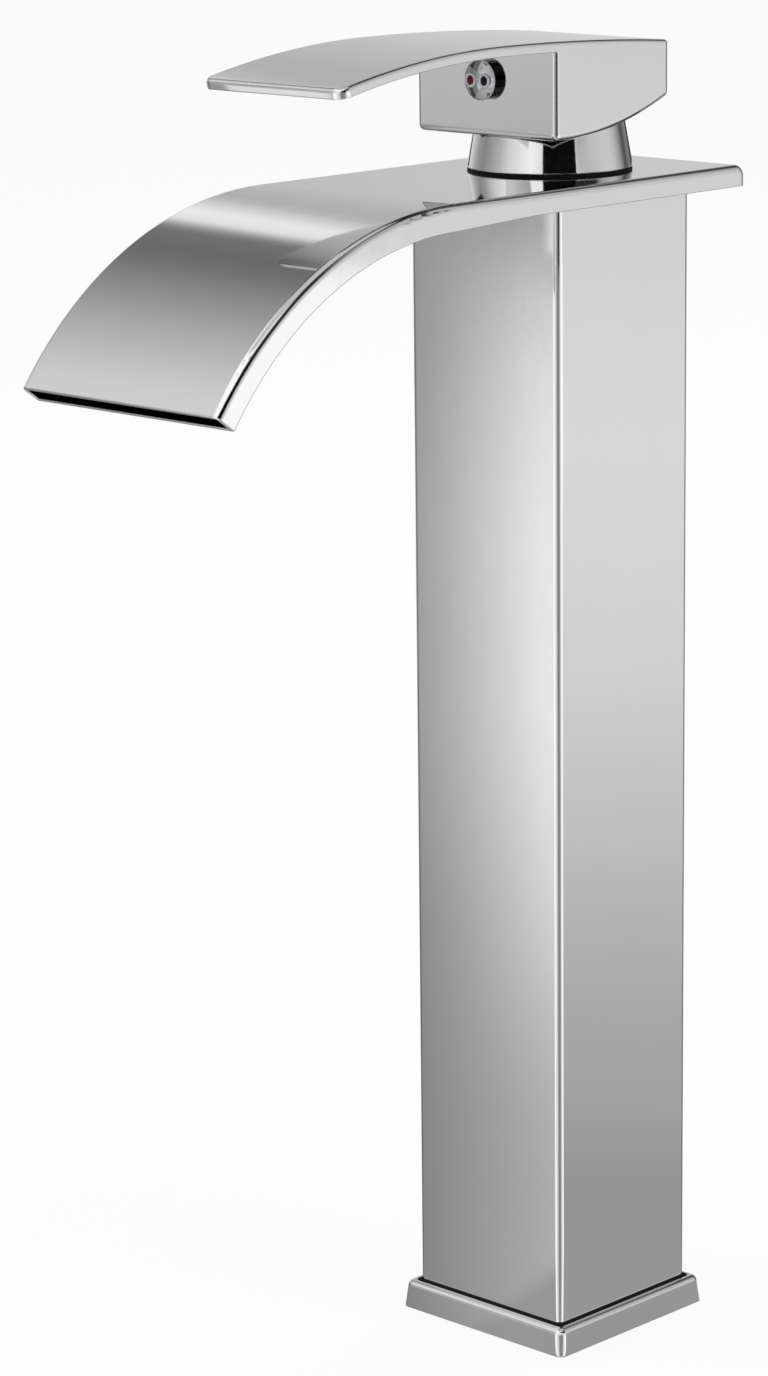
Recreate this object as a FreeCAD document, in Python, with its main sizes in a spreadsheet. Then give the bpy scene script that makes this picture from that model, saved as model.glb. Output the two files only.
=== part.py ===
# Waterfall basin faucet: square column on a base flange, a wide flat spout that bends
# down at its end, and a flat lever on a hollow block that covers the valve's bonnet.
# Millimetres, +Z up. The origin is on the column's axis at the underside of the base.
# The spout points to -Y, and -X is the hot side.
import FreeCAD, Part
import math
import os
import re
import Sketcher

Vector = FreeCAD.Vector

# ---------------------------------------------------------------- sizes
SIZES = [
    # base flange and column
    ("base_width", 51.3, "square flange on the deck"),
    ("base_height", 6.5, "height of the flange"),
    ("base_draw", 0.7, "how far each side leans in over the height"),
    ("base_corner", 2.0, "upright corners of the flange"),
    ("base_edge", 1.4, "rounded top edge of the flange"),
    ("base_ledge", 3.0, "thickness of the ring under the column"),
    ("column_width", 45.0, "square column, outside"),
    ("column_wall", 2.0, "wall of the column"),
    ("column_corner", 1.5, "upright corners of the column"),
    ("column_top", 268.4, "height of the column's top edge"),
    ("column_fit", 0.12, "gap between the column and what it stands in or holds"),
    ("seal_width", 3.0, "width of the deck seal"),
    ("seal_depth", 1.5, "depth of the deck seal's groove"),
    ("seal_span", 43.0, "inside width of the deck seal"),
    ("soft_fit", 0.05, "gap of a seal in its groove"),
    # foot block and risers
    ("foot_height", 20.0, "height of the foot block"),
    ("stud_spacing", 24.0, "distance between the two fixing studs"),
    ("stud_hole", 2.5, "radius of a fixing stud's tapped hole"),
    ("stud_depth", 13.0, "depth of a fixing stud's hole"),
    ("inlet_radius", 4.5, "radius of an inlet's tapped hole"),
    ("inlet_depth", 11.0, "depth of an inlet's tapped hole"),
    ("port_side", 6.4, "sideways distance of each water way"),
    ("port_front", 4.2, "forward distance of each water way"),
    ("riser_radius", 4.0, "outside of a riser tube"),
    ("riser_wall", 1.0, "wall of a riser tube"),
    ("riser_fit", 0.05, "radial gap of a riser brazed in its socket"),
    ("socket_depth", 7.0, "depth of a riser's socket"),
    # valve body
    ("body_flange", 5.0, "thickness of the valve body's square flange"),
    ("barrel_radius", 17.5, "outside of the valve body's barrel"),
    ("well_radius", 13.8, "bore around the cartridge"),
    ("well_depth", 18.4, "depth of the well's floor under the column's top"),
    ("floor_thick", 12.0, "metal under the well's floor"),
    ("neck_radius", 16.0, "neck that passes through the spout"),
    ("neck_rise", 11.9, "height of the neck over the column's top"),
    ("nut_radius", 14.9, "thread of the retaining nut"),
    ("seat_rise", 6.1, "height over the column's top of the ledge for the cartridge"),
    ("neck_slot", 22.0, "width of the outlet slot in the neck"),
    ("neck_fit", 0.1, "radial gap of the spout's hole round the neck"),
    ("gasket_width", 1.8, "width of that gasket"),
    ("gasket_depth", 1.2, "depth of its rebate at the neck's root"),
    # spout
    ("spout_width", 60.2, "width of the spout plate"),
    ("spout_thick", 4.85, "thickness of the spout plate"),
    ("spout_rear", 33.3, "distance of the spout's rear edge behind the axis"),
    ("bend_start", 63.5, "distance of the bend's start in front of the axis"),
    ("bend_radius", 87.5, "radius of the bend on the upper side"),
    ("bend_angle", 54.5, "how far the bend turns down"),
    ("bend_growth", 1.0, "extra thickness of the spout along its bend"),
    ("growth_start", 38.0, "where the underside starts to fall away"),
    ("rear_round", 2.6, "rounding of the rear top edge"),
    ("side_round", 1.6, "rounding of the side top edges"),
    ("lip_round", 0.35, "rounding of the lip's upper edge"),
    ("skin_thick", 0.8, "top wall of the spout"),
    ("side_wall", 1.0, "side walls of the spout"),
    ("pan_thick", 0.7, "inlaid bottom plate of the spout"),
    ("plate_fit", 0.05, "gap round the inlaid bottom plate"),
    # bonnet and retaining nut
    ("ring_height", 0.65, "visible black ring under the bonnet"),
    ("ring_fit", 0.5, "gap of that ring round the neck"),
    ("ring_setback", 0.1, "how far the ring stays inside the bonnet's foot"),
    ("bonnet_radius", 18.85, "bonnet at its foot"),
    ("bonnet_taper", 10.0, "slope of the bonnet's side"),
    ("bonnet_height", 12.5, "height of the bonnet"),
    ("bonnet_lip", 1.7, "thickness of the bonnet's top"),
    ("bonnet_mouth", 12.2, "radius of the bonnet's opening"),
    ("bonnet_bevel", 0.8, "bevel of the bonnet's shoulder"),
    ("thread_fit", 0.05, "radial gap of a thread modelled plain"),
    ("nut_fit", 0.1, "radial gap of the nut round the cartridge"),
    ("nut_flats", 25.6, "width over the retaining nut's flats"),
    ("nut_head", 2.4, "height of the nut's hexagon"),
    # cartridge
    ("shell_radius", 12.5, "outside of the cartridge"),
    ("shell_wall", 1.5, "wall of the cartridge's housing"),
    ("shell_rise", 4.5, "height of the housing over the ledge"),
    ("shell_lip", 1.6, "thickness of the housing's top"),
    ("shell_flange", 14.6, "radius of the housing's flange"),
    ("flange_thick", 2.0, "thickness of that flange"),
    ("water_foot", 0.8, "space between the cartridge and the well's floor"),
    ("base_plate", 4.0, "thickness of the cartridge's base"),
    ("disc_thick", 3.0, "thickness of a ceramic disc"),
    ("disc_gap", 0.02, "water film between the discs"),
    ("disc_radius", 8.4, "radius of the moving disc"),
    ("port_inner", 5.4, "inner radius of the curved ports"),
    ("port_outer", 8.0, "outer radius of the curved ports"),
    ("port_first", 6.0, "angle from the front to a port's first end"),
    ("port_last", 64.0, "angle from the front to a port's last end"),
    ("outlet_radius", 2.2, "radius of the outlet port"),
    ("mix_radius", 4.8, "radius of the mixing chamber"),
    ("mix_depth", 1.4, "depth of the mixing chamber"),
    ("port_bore", 2.2, "radius of a round water way"),
    ("port_ring", 0.8, "width of a port's seal"),
    ("slide_rest", 1.7, "how far behind the axis the disc rests when shut"),
    ("carrier_height", 7.2, "height of the disc carrier"),
    ("carrier_flat", 7.2, "half width of the carrier over its flats"),
    ("guide_fit", 0.06, "gap of a guided face"),
    ("rotor_foot_gap", 0.4, "space between the carrier and the rotor"),
    ("rotor_leg", 5.6, "length of the rotor's legs"),
    ("rotor_neck", 8.8, "radius of the rotor above the housing's lip"),
    ("rotor_rise", 2.4, "height of the rotor over the housing"),
    ("turn_fit", 0.08, "radial running gap of the rotor"),
    # lever pivot and stem
    ("pivot_rise", 5.6, "height of the lever's pivot over the column's top"),
    ("pin_radius", 1.5, "radius of the pivot pin"),
    ("pin_length", 17.0, "length of the pivot pin"),
    ("pin_press", 0.01, "radial gap of the pin in the rotor"),
    ("pin_fit", 0.04, "radial running gap of the pin"),
    ("lift_angle", 25.0, "how far the lever lifts"),
    ("stem_width", 7.0, "stem, across"),
    ("stem_depth", 6.0, "stem, front to back"),
    ("stem_hub", 3.4, "radius of the stem's hub round the pin"),
    ("stem_length", 23.2, "length of the stem over the pivot"),
    ("stem_fit", 0.06, "gap of the stem in the handle's socket"),
    ("stem_room", 0.3, "room over the stem in its socket"),
    ("arm_length", 8.0, "distance from the pivot to the stem's ball"),
    ("arm_width", 2.6, "thickness of the stem's lower arm"),
    ("ball_radius", 2.2, "radius of the stem's ball"),
    ("swing_gap", 0.35, "space kept round the stem as it swings"),
    # handle
    ("handle_width", 42.2, "width of the block and the lever"),
    ("block_front", 21.4, "front face of the block, before the axis"),
    ("block_rear", 17.0, "rear face of the block, behind the axis"),
    ("block_drop", 4.2, "how far the block reaches down past the bonnet's top"),
    ("sweep_start", 19.0, "where the block's underside starts to rise"),
    ("sweep_radius", 90.0, "radius of that rise"),
    ("block_side", 1.8, "side walls of the block"),
    ("block_wall", 1.5, "front and rear walls of the block"),
    ("roof_thick", 6.0, "metal between the hollow and the lever's highest line"),
    ("handle_height", 22.2, "height of the handle at its highest line"),
    ("lever_crest", 38.0, "distance of that line before the axis"),
    ("lever_reach", 88.6, "distance of the lever's tip before the axis"),
    ("lever_drop", 5.6, "how far the lever falls to its tip"),
    ("rear_drop", 2.3, "how far the top falls to the rear"),
    ("lever_thick", 2.3, "thickness of the lever"),
    ("tip_corner", 2.6, "corners of the lever's tip"),
    ("block_edge", 1.4, "upright and bottom edges of the block"),
    ("top_edge", 0.9, "top edges of the lever and the block"),
    ("boss_width", 13.0, "boss round the stem, across"),
    ("boss_front", 9.0, "front of that boss, before the axis"),
    ("boss_rear", 5.2, "rear of that boss, behind the axis"),
    ("boss_root", 0.5, "how far the boss is rooted in the block's roof"),
    ("boss_gap", 5.1, "height of the boss over the bonnet's top"),
    ("screw_radius", 2.5, "radius of the grub screw"),
    ("screw_length", 5.4, "length of the grub screw"),
    ("screw_gap", 0.02, "gap between the screw and the stem"),
    ("screw_hex", 2.5, "width over the flats of its socket"),
    # index plug
    ("plug_rise", 12.6, "height of the plug over the block's bottom edge"),
    ("plug_radius", 4.55, "radius of the plug's head"),
    ("plug_rim", 1.7, "how far the plug's rim stands out"),
    ("plug_dome", 1.1, "rise of the plug's domed face"),
    ("plug_shank", 3.2, "radius of the plug's shank"),
    ("plug_depth", 4.5, "length of the plug's shank"),
    ("dot_side", 2.05, "sideways distance of each dot"),
    ("dot_radius", 1.25, "radius of a dot"),
    ("dot_sink", 0.35, "depth of a dot in the plug"),
    ("dot_proud", 0.12, "how far a dot stands out of its seat"),
    ("dot_fit", 0.02, "gap round a dot in its seat"),
]

# heights over the deck that follow from the sizes above
HEIGHTS = [
    ("well_floor", "column_top - well_depth", "floor of the well"),
    ("neck_top", "column_top + neck_rise", "top of the neck"),
    ("seat_height", "column_top + seat_rise", "ledge that carries the cartridge"),
    ("spout_top", "column_top + spout_thick", "upper side of the spout"),
    ("bonnet_foot", "spout_top + ring_height", "foot of the bonnet"),
    ("bonnet_top", "bonnet_foot + bonnet_height", "top of the bonnet"),
    ("shell_top", "seat_height + shell_rise", "top of the cartridge's housing"),
    ("rotor_top", "shell_top + rotor_rise", "top of the rotor"),
    ("pivot_height", "column_top + pivot_rise", "pivot of the lever"),
    ("stem_top", "pivot_height + stem_length", "top of the stem"),
    ("block_bottom", "bonnet_top - block_drop", "front bottom edge of the block"),
    ("lever_top", "block_bottom + handle_height", "highest line of the lever"),
    ("cavity_top", "lever_top - roof_thick", "ceiling of the block's hollow"),
    ("boss_bottom", "bonnet_top + boss_gap", "bottom of the boss round the stem"),
    ("plug_height", "block_bottom + plug_rise", "centre of the index plug"),
]

doc = FreeCAD.newDocument("waterfall_basin_faucet")
sheet = doc.addObject("Spreadsheet::Sheet", "Sizes")
for row, (alias, value, note) in enumerate(SIZES + HEIGHTS, start=1):
    sheet.set("A%d" % row, alias)
    sheet.set("B%d" % row, "=" + value if isinstance(value, str) else str(value))
    sheet.set("C%d" % row, note)
    sheet.setAlias("B%d" % row, alias)
doc.recompute()

ALIASES = sorted((entry[0] for entry in SIZES + HEIGHTS), key=len, reverse=True)
NAMES = re.compile(r"\b(" + "|".join(ALIASES) + r")\b")


def full(expression):
    """The expression with each size's name pointed at the sheet."""
    return NAMES.sub(r"Sizes.\1", expression)


def val(expression):
    """The value of an expression of sizes, in millimetres or degrees."""
    return float(sheet.evalExpression(full(expression)))


# ---------------------------------------------------------------- helpers
def new_body(label):
    body = doc.addObject("PartDesign::Body", label)
    body.Label = label
    return body


def plane_of(body, role):
    return [item for item in body.Origin.OriginFeatures if item.Role == role][0]


def new_sketch(body, name, role, offset=None):
    """A sketch on one of the body's own origin planes, moved along its normal."""
    sketch = body.newObject("Sketcher::SketchObject", body.Label + "_" + name)
    sketch.AttachmentSupport = [(plane_of(body, role), "")]
    sketch.MapMode = "FlatFace"
    if offset is not None:
        sketch.setExpression("AttachmentOffset.Base.z", full(offset))
    return sketch


def fix_number(sketch, kind, first, point, expression):
    """Ties a point's distance from the sketch's origin to an expression."""
    index = sketch.addConstraint(Sketcher.Constraint(kind, -1, 1, first, point, val(expression)))
    sketch.setExpression("Constraints[%d]" % index, full(expression))


def fix_point(sketch, first, point, place):
    fix_number(sketch, "DistanceX", first, point, place[0])
    fix_number(sketch, "DistanceY", first, point, place[1])


def arc_between(start, end, radius, left):
    """An anticlockwise arc over the run from start to end. It bulges to the left or the
    right of the run, and a bulge to the left makes the run clockwise."""
    chord = end - start
    side = Vector(-chord.y, chord.x, 0)
    side.normalize()
    height = math.sqrt(max(radius ** 2 - (chord.Length / 2) ** 2, 0.0))
    centre = (start + end) * 0.5 - side * (height if left else -height)
    first, last = (end, start) if left else (start, end)
    from_angle = math.atan2(first.y - centre.y, first.x - centre.x)
    to_angle = math.atan2(last.y - centre.y, last.x - centre.x)
    if to_angle < from_angle:
        to_angle += 2 * math.pi
    circle = Part.Circle(centre, Vector(0, 0, 1), radius)
    return Part.ArcOfCircle(circle, from_angle, to_angle)


def draw_outline(sketch, corners):
    """A closed outline. A corner is (x, y) or (x, y, radius, side): the run that leaves
    it is straight, or an arc of that radius that bulges to that side."""
    points = [Vector(val(c[0]), val(c[1]), 0) for c in corners]
    count = len(corners)
    starts = []
    for index, corner in enumerate(corners):
        here = points[index]
        there = points[(index + 1) % count]
        if len(corner) == 2:
            sketch.addGeometry(Part.LineSegment(here, there), False)
            starts.append((1, 2))
            continue
        left = corner[3] == "left"
        sketch.addGeometry(arc_between(here, there, val(corner[2]), left), False)
        starts.append((2, 1) if left else (1, 2))
    for index in range(count):
        after = (index + 1) % count
        sketch.addConstraint(
            Sketcher.Constraint("Coincident", index, starts[index][1], after, starts[after][0]))
    for index, corner in enumerate(corners):
        fix_point(sketch, index, starts[index][0], corner[0:2])
        if len(corner) > 2:
            number = sketch.addConstraint(Sketcher.Constraint("Radius", index, val(corner[2])))
            sketch.setExpression("Constraints[%d]" % number, full(corner[2]))


def draw_circle(sketch, x, y, radius):
    index = sketch.addGeometry(
        Part.Circle(Vector(val(x), val(y), 0), Vector(0, 0, 1), val(radius)), False)
    fix_point(sketch, index, 3, (x, y))
    number = sketch.addConstraint(Sketcher.Constraint("Radius", index, val(radius)))
    sketch.setExpression("Constraints[%d]" % number, full(radius))


def draw_box(sketch, left, right, low, high):
    """A rectangle between four expressions."""
    first = sketch.GeometryCount
    x0, x1, y0, y1 = val(left), val(right), val(low), val(high)
    corners = [Vector(x0, y0, 0), Vector(x1, y0, 0), Vector(x1, y1, 0), Vector(x0, y1, 0)]
    for index in range(4):
        sketch.addGeometry(Part.LineSegment(corners[index], corners[(index + 1) % 4]), False)
    for index in range(4):
        sketch.addConstraint(
            Sketcher.Constraint("Coincident", first + index, 2, first + (index + 1) % 4, 1))
    for index in (0, 2):
        sketch.addConstraint(Sketcher.Constraint("Horizontal", first + index))
        sketch.addConstraint(Sketcher.Constraint("Vertical", first + index + 1))
    fix_point(sketch, first, 1, (left, low))
    fix_point(sketch, first + 2, 1, (right, high))


def draw_square(sketch, width):
    draw_box(sketch, "-(%s) / 2" % width, "(%s) / 2" % width,
             "-(%s) / 2" % width, "(%s) / 2" % width)


def add_feature(body, kind, name, sketch):
    feature = body.newObject("PartDesign::" + kind, body.Label + "_" + name)
    feature.Profile = sketch
    sketch.Visibility = False
    return feature


def pad(body, name, sketch, length, symmetric=False, down=False):
    feature = add_feature(body, "Pad", name, sketch)
    feature.setExpression("Length", full(length))
    if symmetric:
        feature.SideType = "Symmetric"
    feature.Reversed = down
    doc.recompute()
    return feature


def volume_of(body):
    return body.Shape.Volume if body.Shape and not body.Shape.isNull() else 0.0


def check_cut(body, before, name):
    if not volume_of(body) < before - 0.01:
        raise RuntimeError("%s cut nothing from %s" % (name, body.Label))


def pocket(body, name, sketch, length, symmetric=False, up=False):
    """Cuts against the sketch's normal, or along it where up is true."""
    before = volume_of(body)
    feature = add_feature(body, "Pocket", name, sketch)
    feature.setExpression("Length", full(length))
    if symmetric:
        feature.SideType = "Symmetric"
    feature.Reversed = up
    doc.recompute()
    check_cut(body, before, name)
    return feature


def revolve(body, name, sketch):
    feature = add_feature(body, "Revolution", name, sketch)
    feature.ReferenceAxis = (sketch, ["V_Axis"])
    feature.Angle = 360.0
    doc.recompute()
    return feature


def round_edges(body, name, radius, wanted, kind="Fillet"):
    """Rounds the edges of the body's tip that the test picks."""
    base = body.Tip
    picked = ["Edge%d" % (i + 1) for i, edge in enumerate(base.Shape.Edges) if wanted(edge)]
    if not picked:
        raise RuntimeError("no edge of %s for %s" % (body.Label, name))
    feature = body.newObject("PartDesign::" + kind, body.Label + "_" + name)
    feature.Base = (base, picked)
    feature.Refine = False
    feature.setExpression("Radius" if kind == "Fillet" else "Size", full(radius))
    doc.recompute()
    if feature.Shape.isNull() or "Invalid" in feature.State:
        raise RuntimeError("%s failed on %s" % (name, body.Label))
    return feature


def slope_sides(body, name, angle):
    """Leans the upright faces of the body's tip inwards from the deck's plane."""
    base = body.Tip
    picked = []
    for index, face in enumerate(base.Shape.Faces):
        if abs(face.normalAt(0, 0).z) < 0.01:
            picked.append("Face%d" % (index + 1))
    feature = body.newObject("PartDesign::Draft", body.Label + "_" + name)
    feature.Base = (base, picked)
    feature.NeutralPlane = (plane_of(body, "XY_Plane"), [""])
    feature.setExpression("Angle", full(angle))
    doc.recompute()
    if "Invalid" in feature.State or body.Shape.isNull():
        raise RuntimeError("%s failed on %s" % (name, body.Label))
    if body.Shape.Volume > base.Shape.Volume:
        feature.Reversed = True
        doc.recompute()
    return feature


def ends_of(edge):
    return [vertex.Point for vertex in edge.Vertexes]


def upright(edge):
    ends = ends_of(edge)
    return (len(ends) == 2 and abs(ends[0].x - ends[1].x) < 1e-4
            and abs(ends[0].y - ends[1].y) < 1e-4)


# ---------------------------------------------------------------- base flange
def make_base_flange():
    body = new_body("base_flange")
    plan = new_sketch(body, "plan", "XY_Plane")
    draw_square(plan, "base_width")
    pad(body, "block", plan, "base_height")
    slope_sides(body, "draw", "atan(base_draw / base_height)")
    top = val("base_height")

    def corner(edge):
        ends = ends_of(edge)
        return len(ends) == 2 and abs(ends[0].z - ends[1].z) > top * 0.9

    round_edges(body, "corners", "base_corner", corner)

    def rim(edge):
        return all(abs(p.z - top) < 1e-4 for p in ends_of(edge))

    round_edges(body, "rim", "base_edge", rim)
    seat = new_sketch(body, "column_seat", "XY_Plane", "base_ledge")
    draw_square(seat, "column_width + 2 * column_fit")
    pocket(body, "seat", seat, "base_height", up=True)
    way = new_sketch(body, "way_plan", "XY_Plane")
    draw_square(way, "column_width - 2 * column_wall")
    pocket(body, "way", way, "base_height", up=True)
    groove_plan = new_sketch(body, "seal_plan", "XY_Plane")
    draw_square(groove_plan, "seal_span")
    draw_square(groove_plan, "seal_span + 2 * seal_width")
    pocket(body, "seal_groove", groove_plan, "seal_depth", up=True)


def make_deck_seal():
    body = new_body("deck_seal")
    plan = new_sketch(body, "plan", "XY_Plane")
    draw_square(plan, "seal_span + 2 * soft_fit")
    draw_square(plan, "seal_span + 2 * seal_width - 2 * soft_fit")
    pad(body, "ring", plan, "seal_depth")


def make_column():
    body = new_body("column")
    plan = new_sketch(body, "plan", "XY_Plane", "base_ledge")
    draw_square(plan, "column_width")
    pad(body, "tube", plan, "column_top - base_ledge")
    round_edges(body, "corners", "column_corner", upright)
    bore = new_sketch(body, "bore_plan", "XY_Plane", "base_ledge")
    draw_square(bore, "column_width - 2 * column_wall")
    pocket(body, "bore", bore, "column_top - base_ledge", up=True)


# ---------------------------------------------------------------- foot block and risers
WAYS = (("-port_side", "-port_front"), ("port_side", "-port_front"))


def make_foot_block():
    body = new_body("foot_block")
    plan = new_sketch(body, "plan", "XY_Plane")
    draw_square(plan, "column_width - 2 * column_wall - 2 * column_fit")
    pad(body, "block", plan, "foot_height")
    inlets = new_sketch(body, "inlet_plan", "XY_Plane")
    for x, y in WAYS:
        draw_circle(inlets, x, y, "inlet_radius")
    pocket(body, "inlets", inlets, "inlet_depth", up=True)
    studs = new_sketch(body, "stud_plan", "XY_Plane")
    for sign in ("-", ""):
        draw_circle(studs, "0", sign + "stud_spacing / 2", "stud_hole")
    pocket(body, "studs", studs, "stud_depth", up=True)
    sockets = new_sketch(body, "socket_plan", "XY_Plane", "foot_height")
    for x, y in WAYS:
        draw_circle(sockets, x, y, "riser_radius + riser_fit")
    pocket(body, "sockets", sockets, "socket_depth")
    ways = new_sketch(body, "way_plan", "XY_Plane")
    for x, y in WAYS:
        draw_circle(ways, x, y, "riser_radius - riser_wall")
    pocket(body, "ways", ways, "foot_height", up=True)


def make_riser(label, way):
    body = new_body(label)
    plan = new_sketch(body, "plan", "XY_Plane", "foot_height - socket_depth")
    draw_circle(plan, way[0], way[1], "riser_radius")
    draw_circle(plan, way[0], way[1], "riser_radius - riser_wall")
    span = "well_floor - floor_thick + socket_depth - foot_height + socket_depth"
    pad(body, "tube", plan, span)


# ---------------------------------------------------------------- valve body
def make_valve_body():
    body = new_body("valve_body")
    half = new_sketch(body, "half", "XZ_Plane")
    draw_outline(half, [
        ("0", "well_floor - floor_thick"),
        ("barrel_radius", "well_floor - floor_thick"),
        ("barrel_radius", "column_top"),
        ("neck_radius", "column_top"),
        ("neck_radius", "neck_top"),
        ("nut_radius + thread_fit", "neck_top"),
        ("nut_radius + thread_fit", "seat_height"),
        ("well_radius", "seat_height"),
        ("well_radius", "well_floor"),
        ("0", "well_floor"),
    ])
    revolve(body, "barrel", half)
    flange = new_sketch(body, "flange_plan", "XY_Plane", "column_top")
    draw_square(flange, "column_width - 2 * column_wall - 2 * column_fit")
    draw_circle(flange, "0", "0", "(barrel_radius + well_radius) / 2")
    pad(body, "flange", flange, "body_flange", down=True)
    gasket = new_sketch(body, "gasket_plan", "XY_Plane", "column_top")
    draw_circle(gasket, "0", "0", "neck_radius")
    draw_circle(gasket, "0", "0", "neck_radius + gasket_width")
    pocket(body, "gasket_rebate", gasket, "gasket_depth")
    bottom = "well_floor - floor_thick"
    sockets = new_sketch(body, "socket_plan", "XY_Plane", bottom)
    ports = new_sketch(body, "port_plan", "XY_Plane", bottom)
    for x, y in WAYS:
        draw_circle(sockets, x, y, "riser_radius + riser_fit")
        draw_circle(ports, x, y, "port_bore")
    pocket(body, "sockets", sockets, "socket_depth", up=True)
    pocket(body, "ports", ports, "floor_thick", up=True)
    slot = new_sketch(body, "slot_side", "XZ_Plane")
    draw_box(slot, "-neck_slot / 2", "neck_slot / 2", "column_top + pan_thick",
             "column_top + spout_thick - skin_thick")
    pocket(body, "outlet_slot", slot, "2 * neck_radius", up=True)


def make_spout_gasket():
    body = new_body("spout_gasket")
    plan = new_sketch(body, "plan", "XY_Plane", "column_top")
    draw_circle(plan, "0", "0", "neck_radius + soft_fit")
    draw_circle(plan, "0", "0", "neck_radius + gasket_width - soft_fit")
    pad(body, "ring", plan, "gasket_depth", down=True)


# ---------------------------------------------------------------- spout
# The plate's upper line is straight to the bend's start and then a tangent arc. The
# underside falls away a little before the bend and then follows the same centre.
SPOUT_TOP = "spout_top"
BEND_CENTRE = "(column_top + spout_thick - bend_radius)"
BEND_THICK = "(spout_thick + bend_growth)"


def tip_point(depth):
    """The bend's end, at a depth under the upper side."""
    return ("-bend_start - (bend_radius - (%s)) * sin(bend_angle)" % depth,
            BEND_CENTRE + " + (bend_radius - (%s)) * cos(bend_angle)" % depth)


def make_spout_shell():
    body = new_body("spout_shell")
    side = new_sketch(body, "side", "YZ_Plane")
    low_tip = tip_point(BEND_THICK)
    draw_outline(side, [
        ("spout_rear", "column_top"),
        ("spout_rear", SPOUT_TOP),
        ("-bend_start", SPOUT_TOP, "bend_radius", "right"),
        tip_point("0"),
        low_tip + ("bend_radius - " + BEND_THICK, "left"),
        ("-bend_start", "column_top - bend_growth"),
        ("-growth_start", "column_top"),
    ])
    pad(body, "plate", side, "spout_width", symmetric=True)
    top = val(SPOUT_TOP)
    rear = val("spout_rear")

    def rear_top(edge):
        return all(abs(p.z - top) < 1e-4 and abs(p.y - rear) < 1e-4 for p in ends_of(edge))

    round_edges(body, "rear_round", "rear_round", rear_top)
    half = val("spout_width") / 2

    def on_top(point):
        if abs(point.z - top) < 0.01 or abs(point.y - rear) < 0.01:
            return True
        reach = math.hypot(point.y + val("bend_start"), point.z - val(BEND_CENTRE))
        return point.y < -val("bend_start") and abs(reach - val("bend_radius")) < 0.01

    def side_top(edge):
        ends = ends_of(edge)
        if len(ends) < 2 or not all(abs(abs(p.x) - half) < 1e-4 for p in ends):
            return False
        return ends[0].x * ends[1].x > 0 and all(on_top(p) for p in ends)

    round_edges(body, "side_round", "side_round", side_top)

    def lip(edge):
        """Edges of the tip's end face that lie within the side rounding's depth."""
        points = ends_of(edge) + [edge.CenterOfMass]
        turn = math.radians(val("bend_angle"))
        for point in points:
            out = -(point.y + val("bend_start"))
            up = point.z - val(BEND_CENTRE)
            if abs(out * math.cos(turn) - up * math.sin(turn)) > 0.01:
                return False
            if math.hypot(out, up) < val("bend_radius - side_round") - 0.01:
                return False
        return True

    round_edges(body, "lip", "lip_round", lip)
    hollow = new_sketch(body, "hollow_side", "YZ_Plane")
    skin_tip = tip_point("skin_thick")
    past = (skin_tip[0] + " - spout_thick * cos(bend_angle)",
            skin_tip[1] + " - spout_thick * sin(bend_angle)")
    roof = SPOUT_TOP + " - skin_thick"
    draw_outline(hollow, [
        ("spout_rear - side_wall", "column_top - spout_rear"),
        ("spout_rear - side_wall", roof),
        ("-bend_start", roof, "bend_radius - skin_thick", "right"),
        skin_tip,
        past,
        (past[0], "column_top - bend_radius"),
        ("-bend_start", "column_top - bend_radius"),
        ("-bend_start", "column_top - spout_rear"),
    ])
    pocket(body, "hollow", hollow, "spout_width - 2 * side_wall", symmetric=True)
    hole = new_sketch(body, "neck_plan", "XY_Plane", "column_top")
    draw_circle(hole, "0", "0", "neck_radius + neck_fit")
    pocket(body, "neck_hole", hole, "2 * spout_thick", up=True)


def make_spout_floor():
    body = new_body("spout_floor")
    side = new_sketch(body, "side", "YZ_Plane")
    upper = "(%s - pan_thick)" % BEND_THICK
    rear = "spout_rear - side_wall - plate_fit"
    draw_outline(side, [
        (rear, "column_top"),
        (rear, "column_top + pan_thick"),
        ("-growth_start", "column_top + pan_thick"),
        ("-bend_start", SPOUT_TOP + " - " + upper, "bend_radius - " + upper, "right"),
        tip_point(upper),
        tip_point(BEND_THICK) + ("bend_radius - " + BEND_THICK, "left"),
        ("-bend_start", "column_top - bend_growth"),
        ("-growth_start", "column_top"),
    ])
    pad(body, "plate", side, "spout_width - 2 * side_wall - 2 * plate_fit", symmetric=True)
    hole = new_sketch(body, "neck_plan", "XY_Plane", "column_top")
    draw_circle(hole, "0", "0", "neck_radius + neck_fit")
    pocket(body, "neck_hole", hole, "2 * spout_thick", up=True)


# ---------------------------------------------------------------- bonnet and nut
def make_bonnet_seal():
    body = new_body("bonnet_seal")
    plan = new_sketch(body, "plan", "XY_Plane", "spout_top")
    draw_circle(plan, "0", "0", "neck_radius + ring_fit")
    draw_circle(plan, "0", "0", "bonnet_radius - ring_setback")
    pad(body, "ring", plan, "ring_height")


def make_bonnet():
    body = new_body("bonnet")
    half = new_sketch(body, "half", "XZ_Plane")
    inner = "neck_radius + thread_fit"
    roof = "bonnet_top - bonnet_lip"
    draw_outline(half, [
        (inner, "bonnet_foot"),
        ("bonnet_radius", "bonnet_foot"),
        ("bonnet_radius - bonnet_height * tan(bonnet_taper)", "bonnet_top"),
        ("bonnet_mouth", "bonnet_top"),
        ("bonnet_mouth", roof),
        (inner, roof),
    ])
    revolve(body, "cone", half)
    top = val("bonnet_top")
    mouth = val("bonnet_mouth")

    def shoulder(edge):
        ends = ends_of(edge)
        return (all(abs(p.z - top) < 1e-4 for p in ends)
                and all(math.hypot(p.x, p.y) > mouth + 1 for p in ends))

    round_edges(body, "shoulder", "bonnet_bevel", shoulder, kind="Chamfer")


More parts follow.
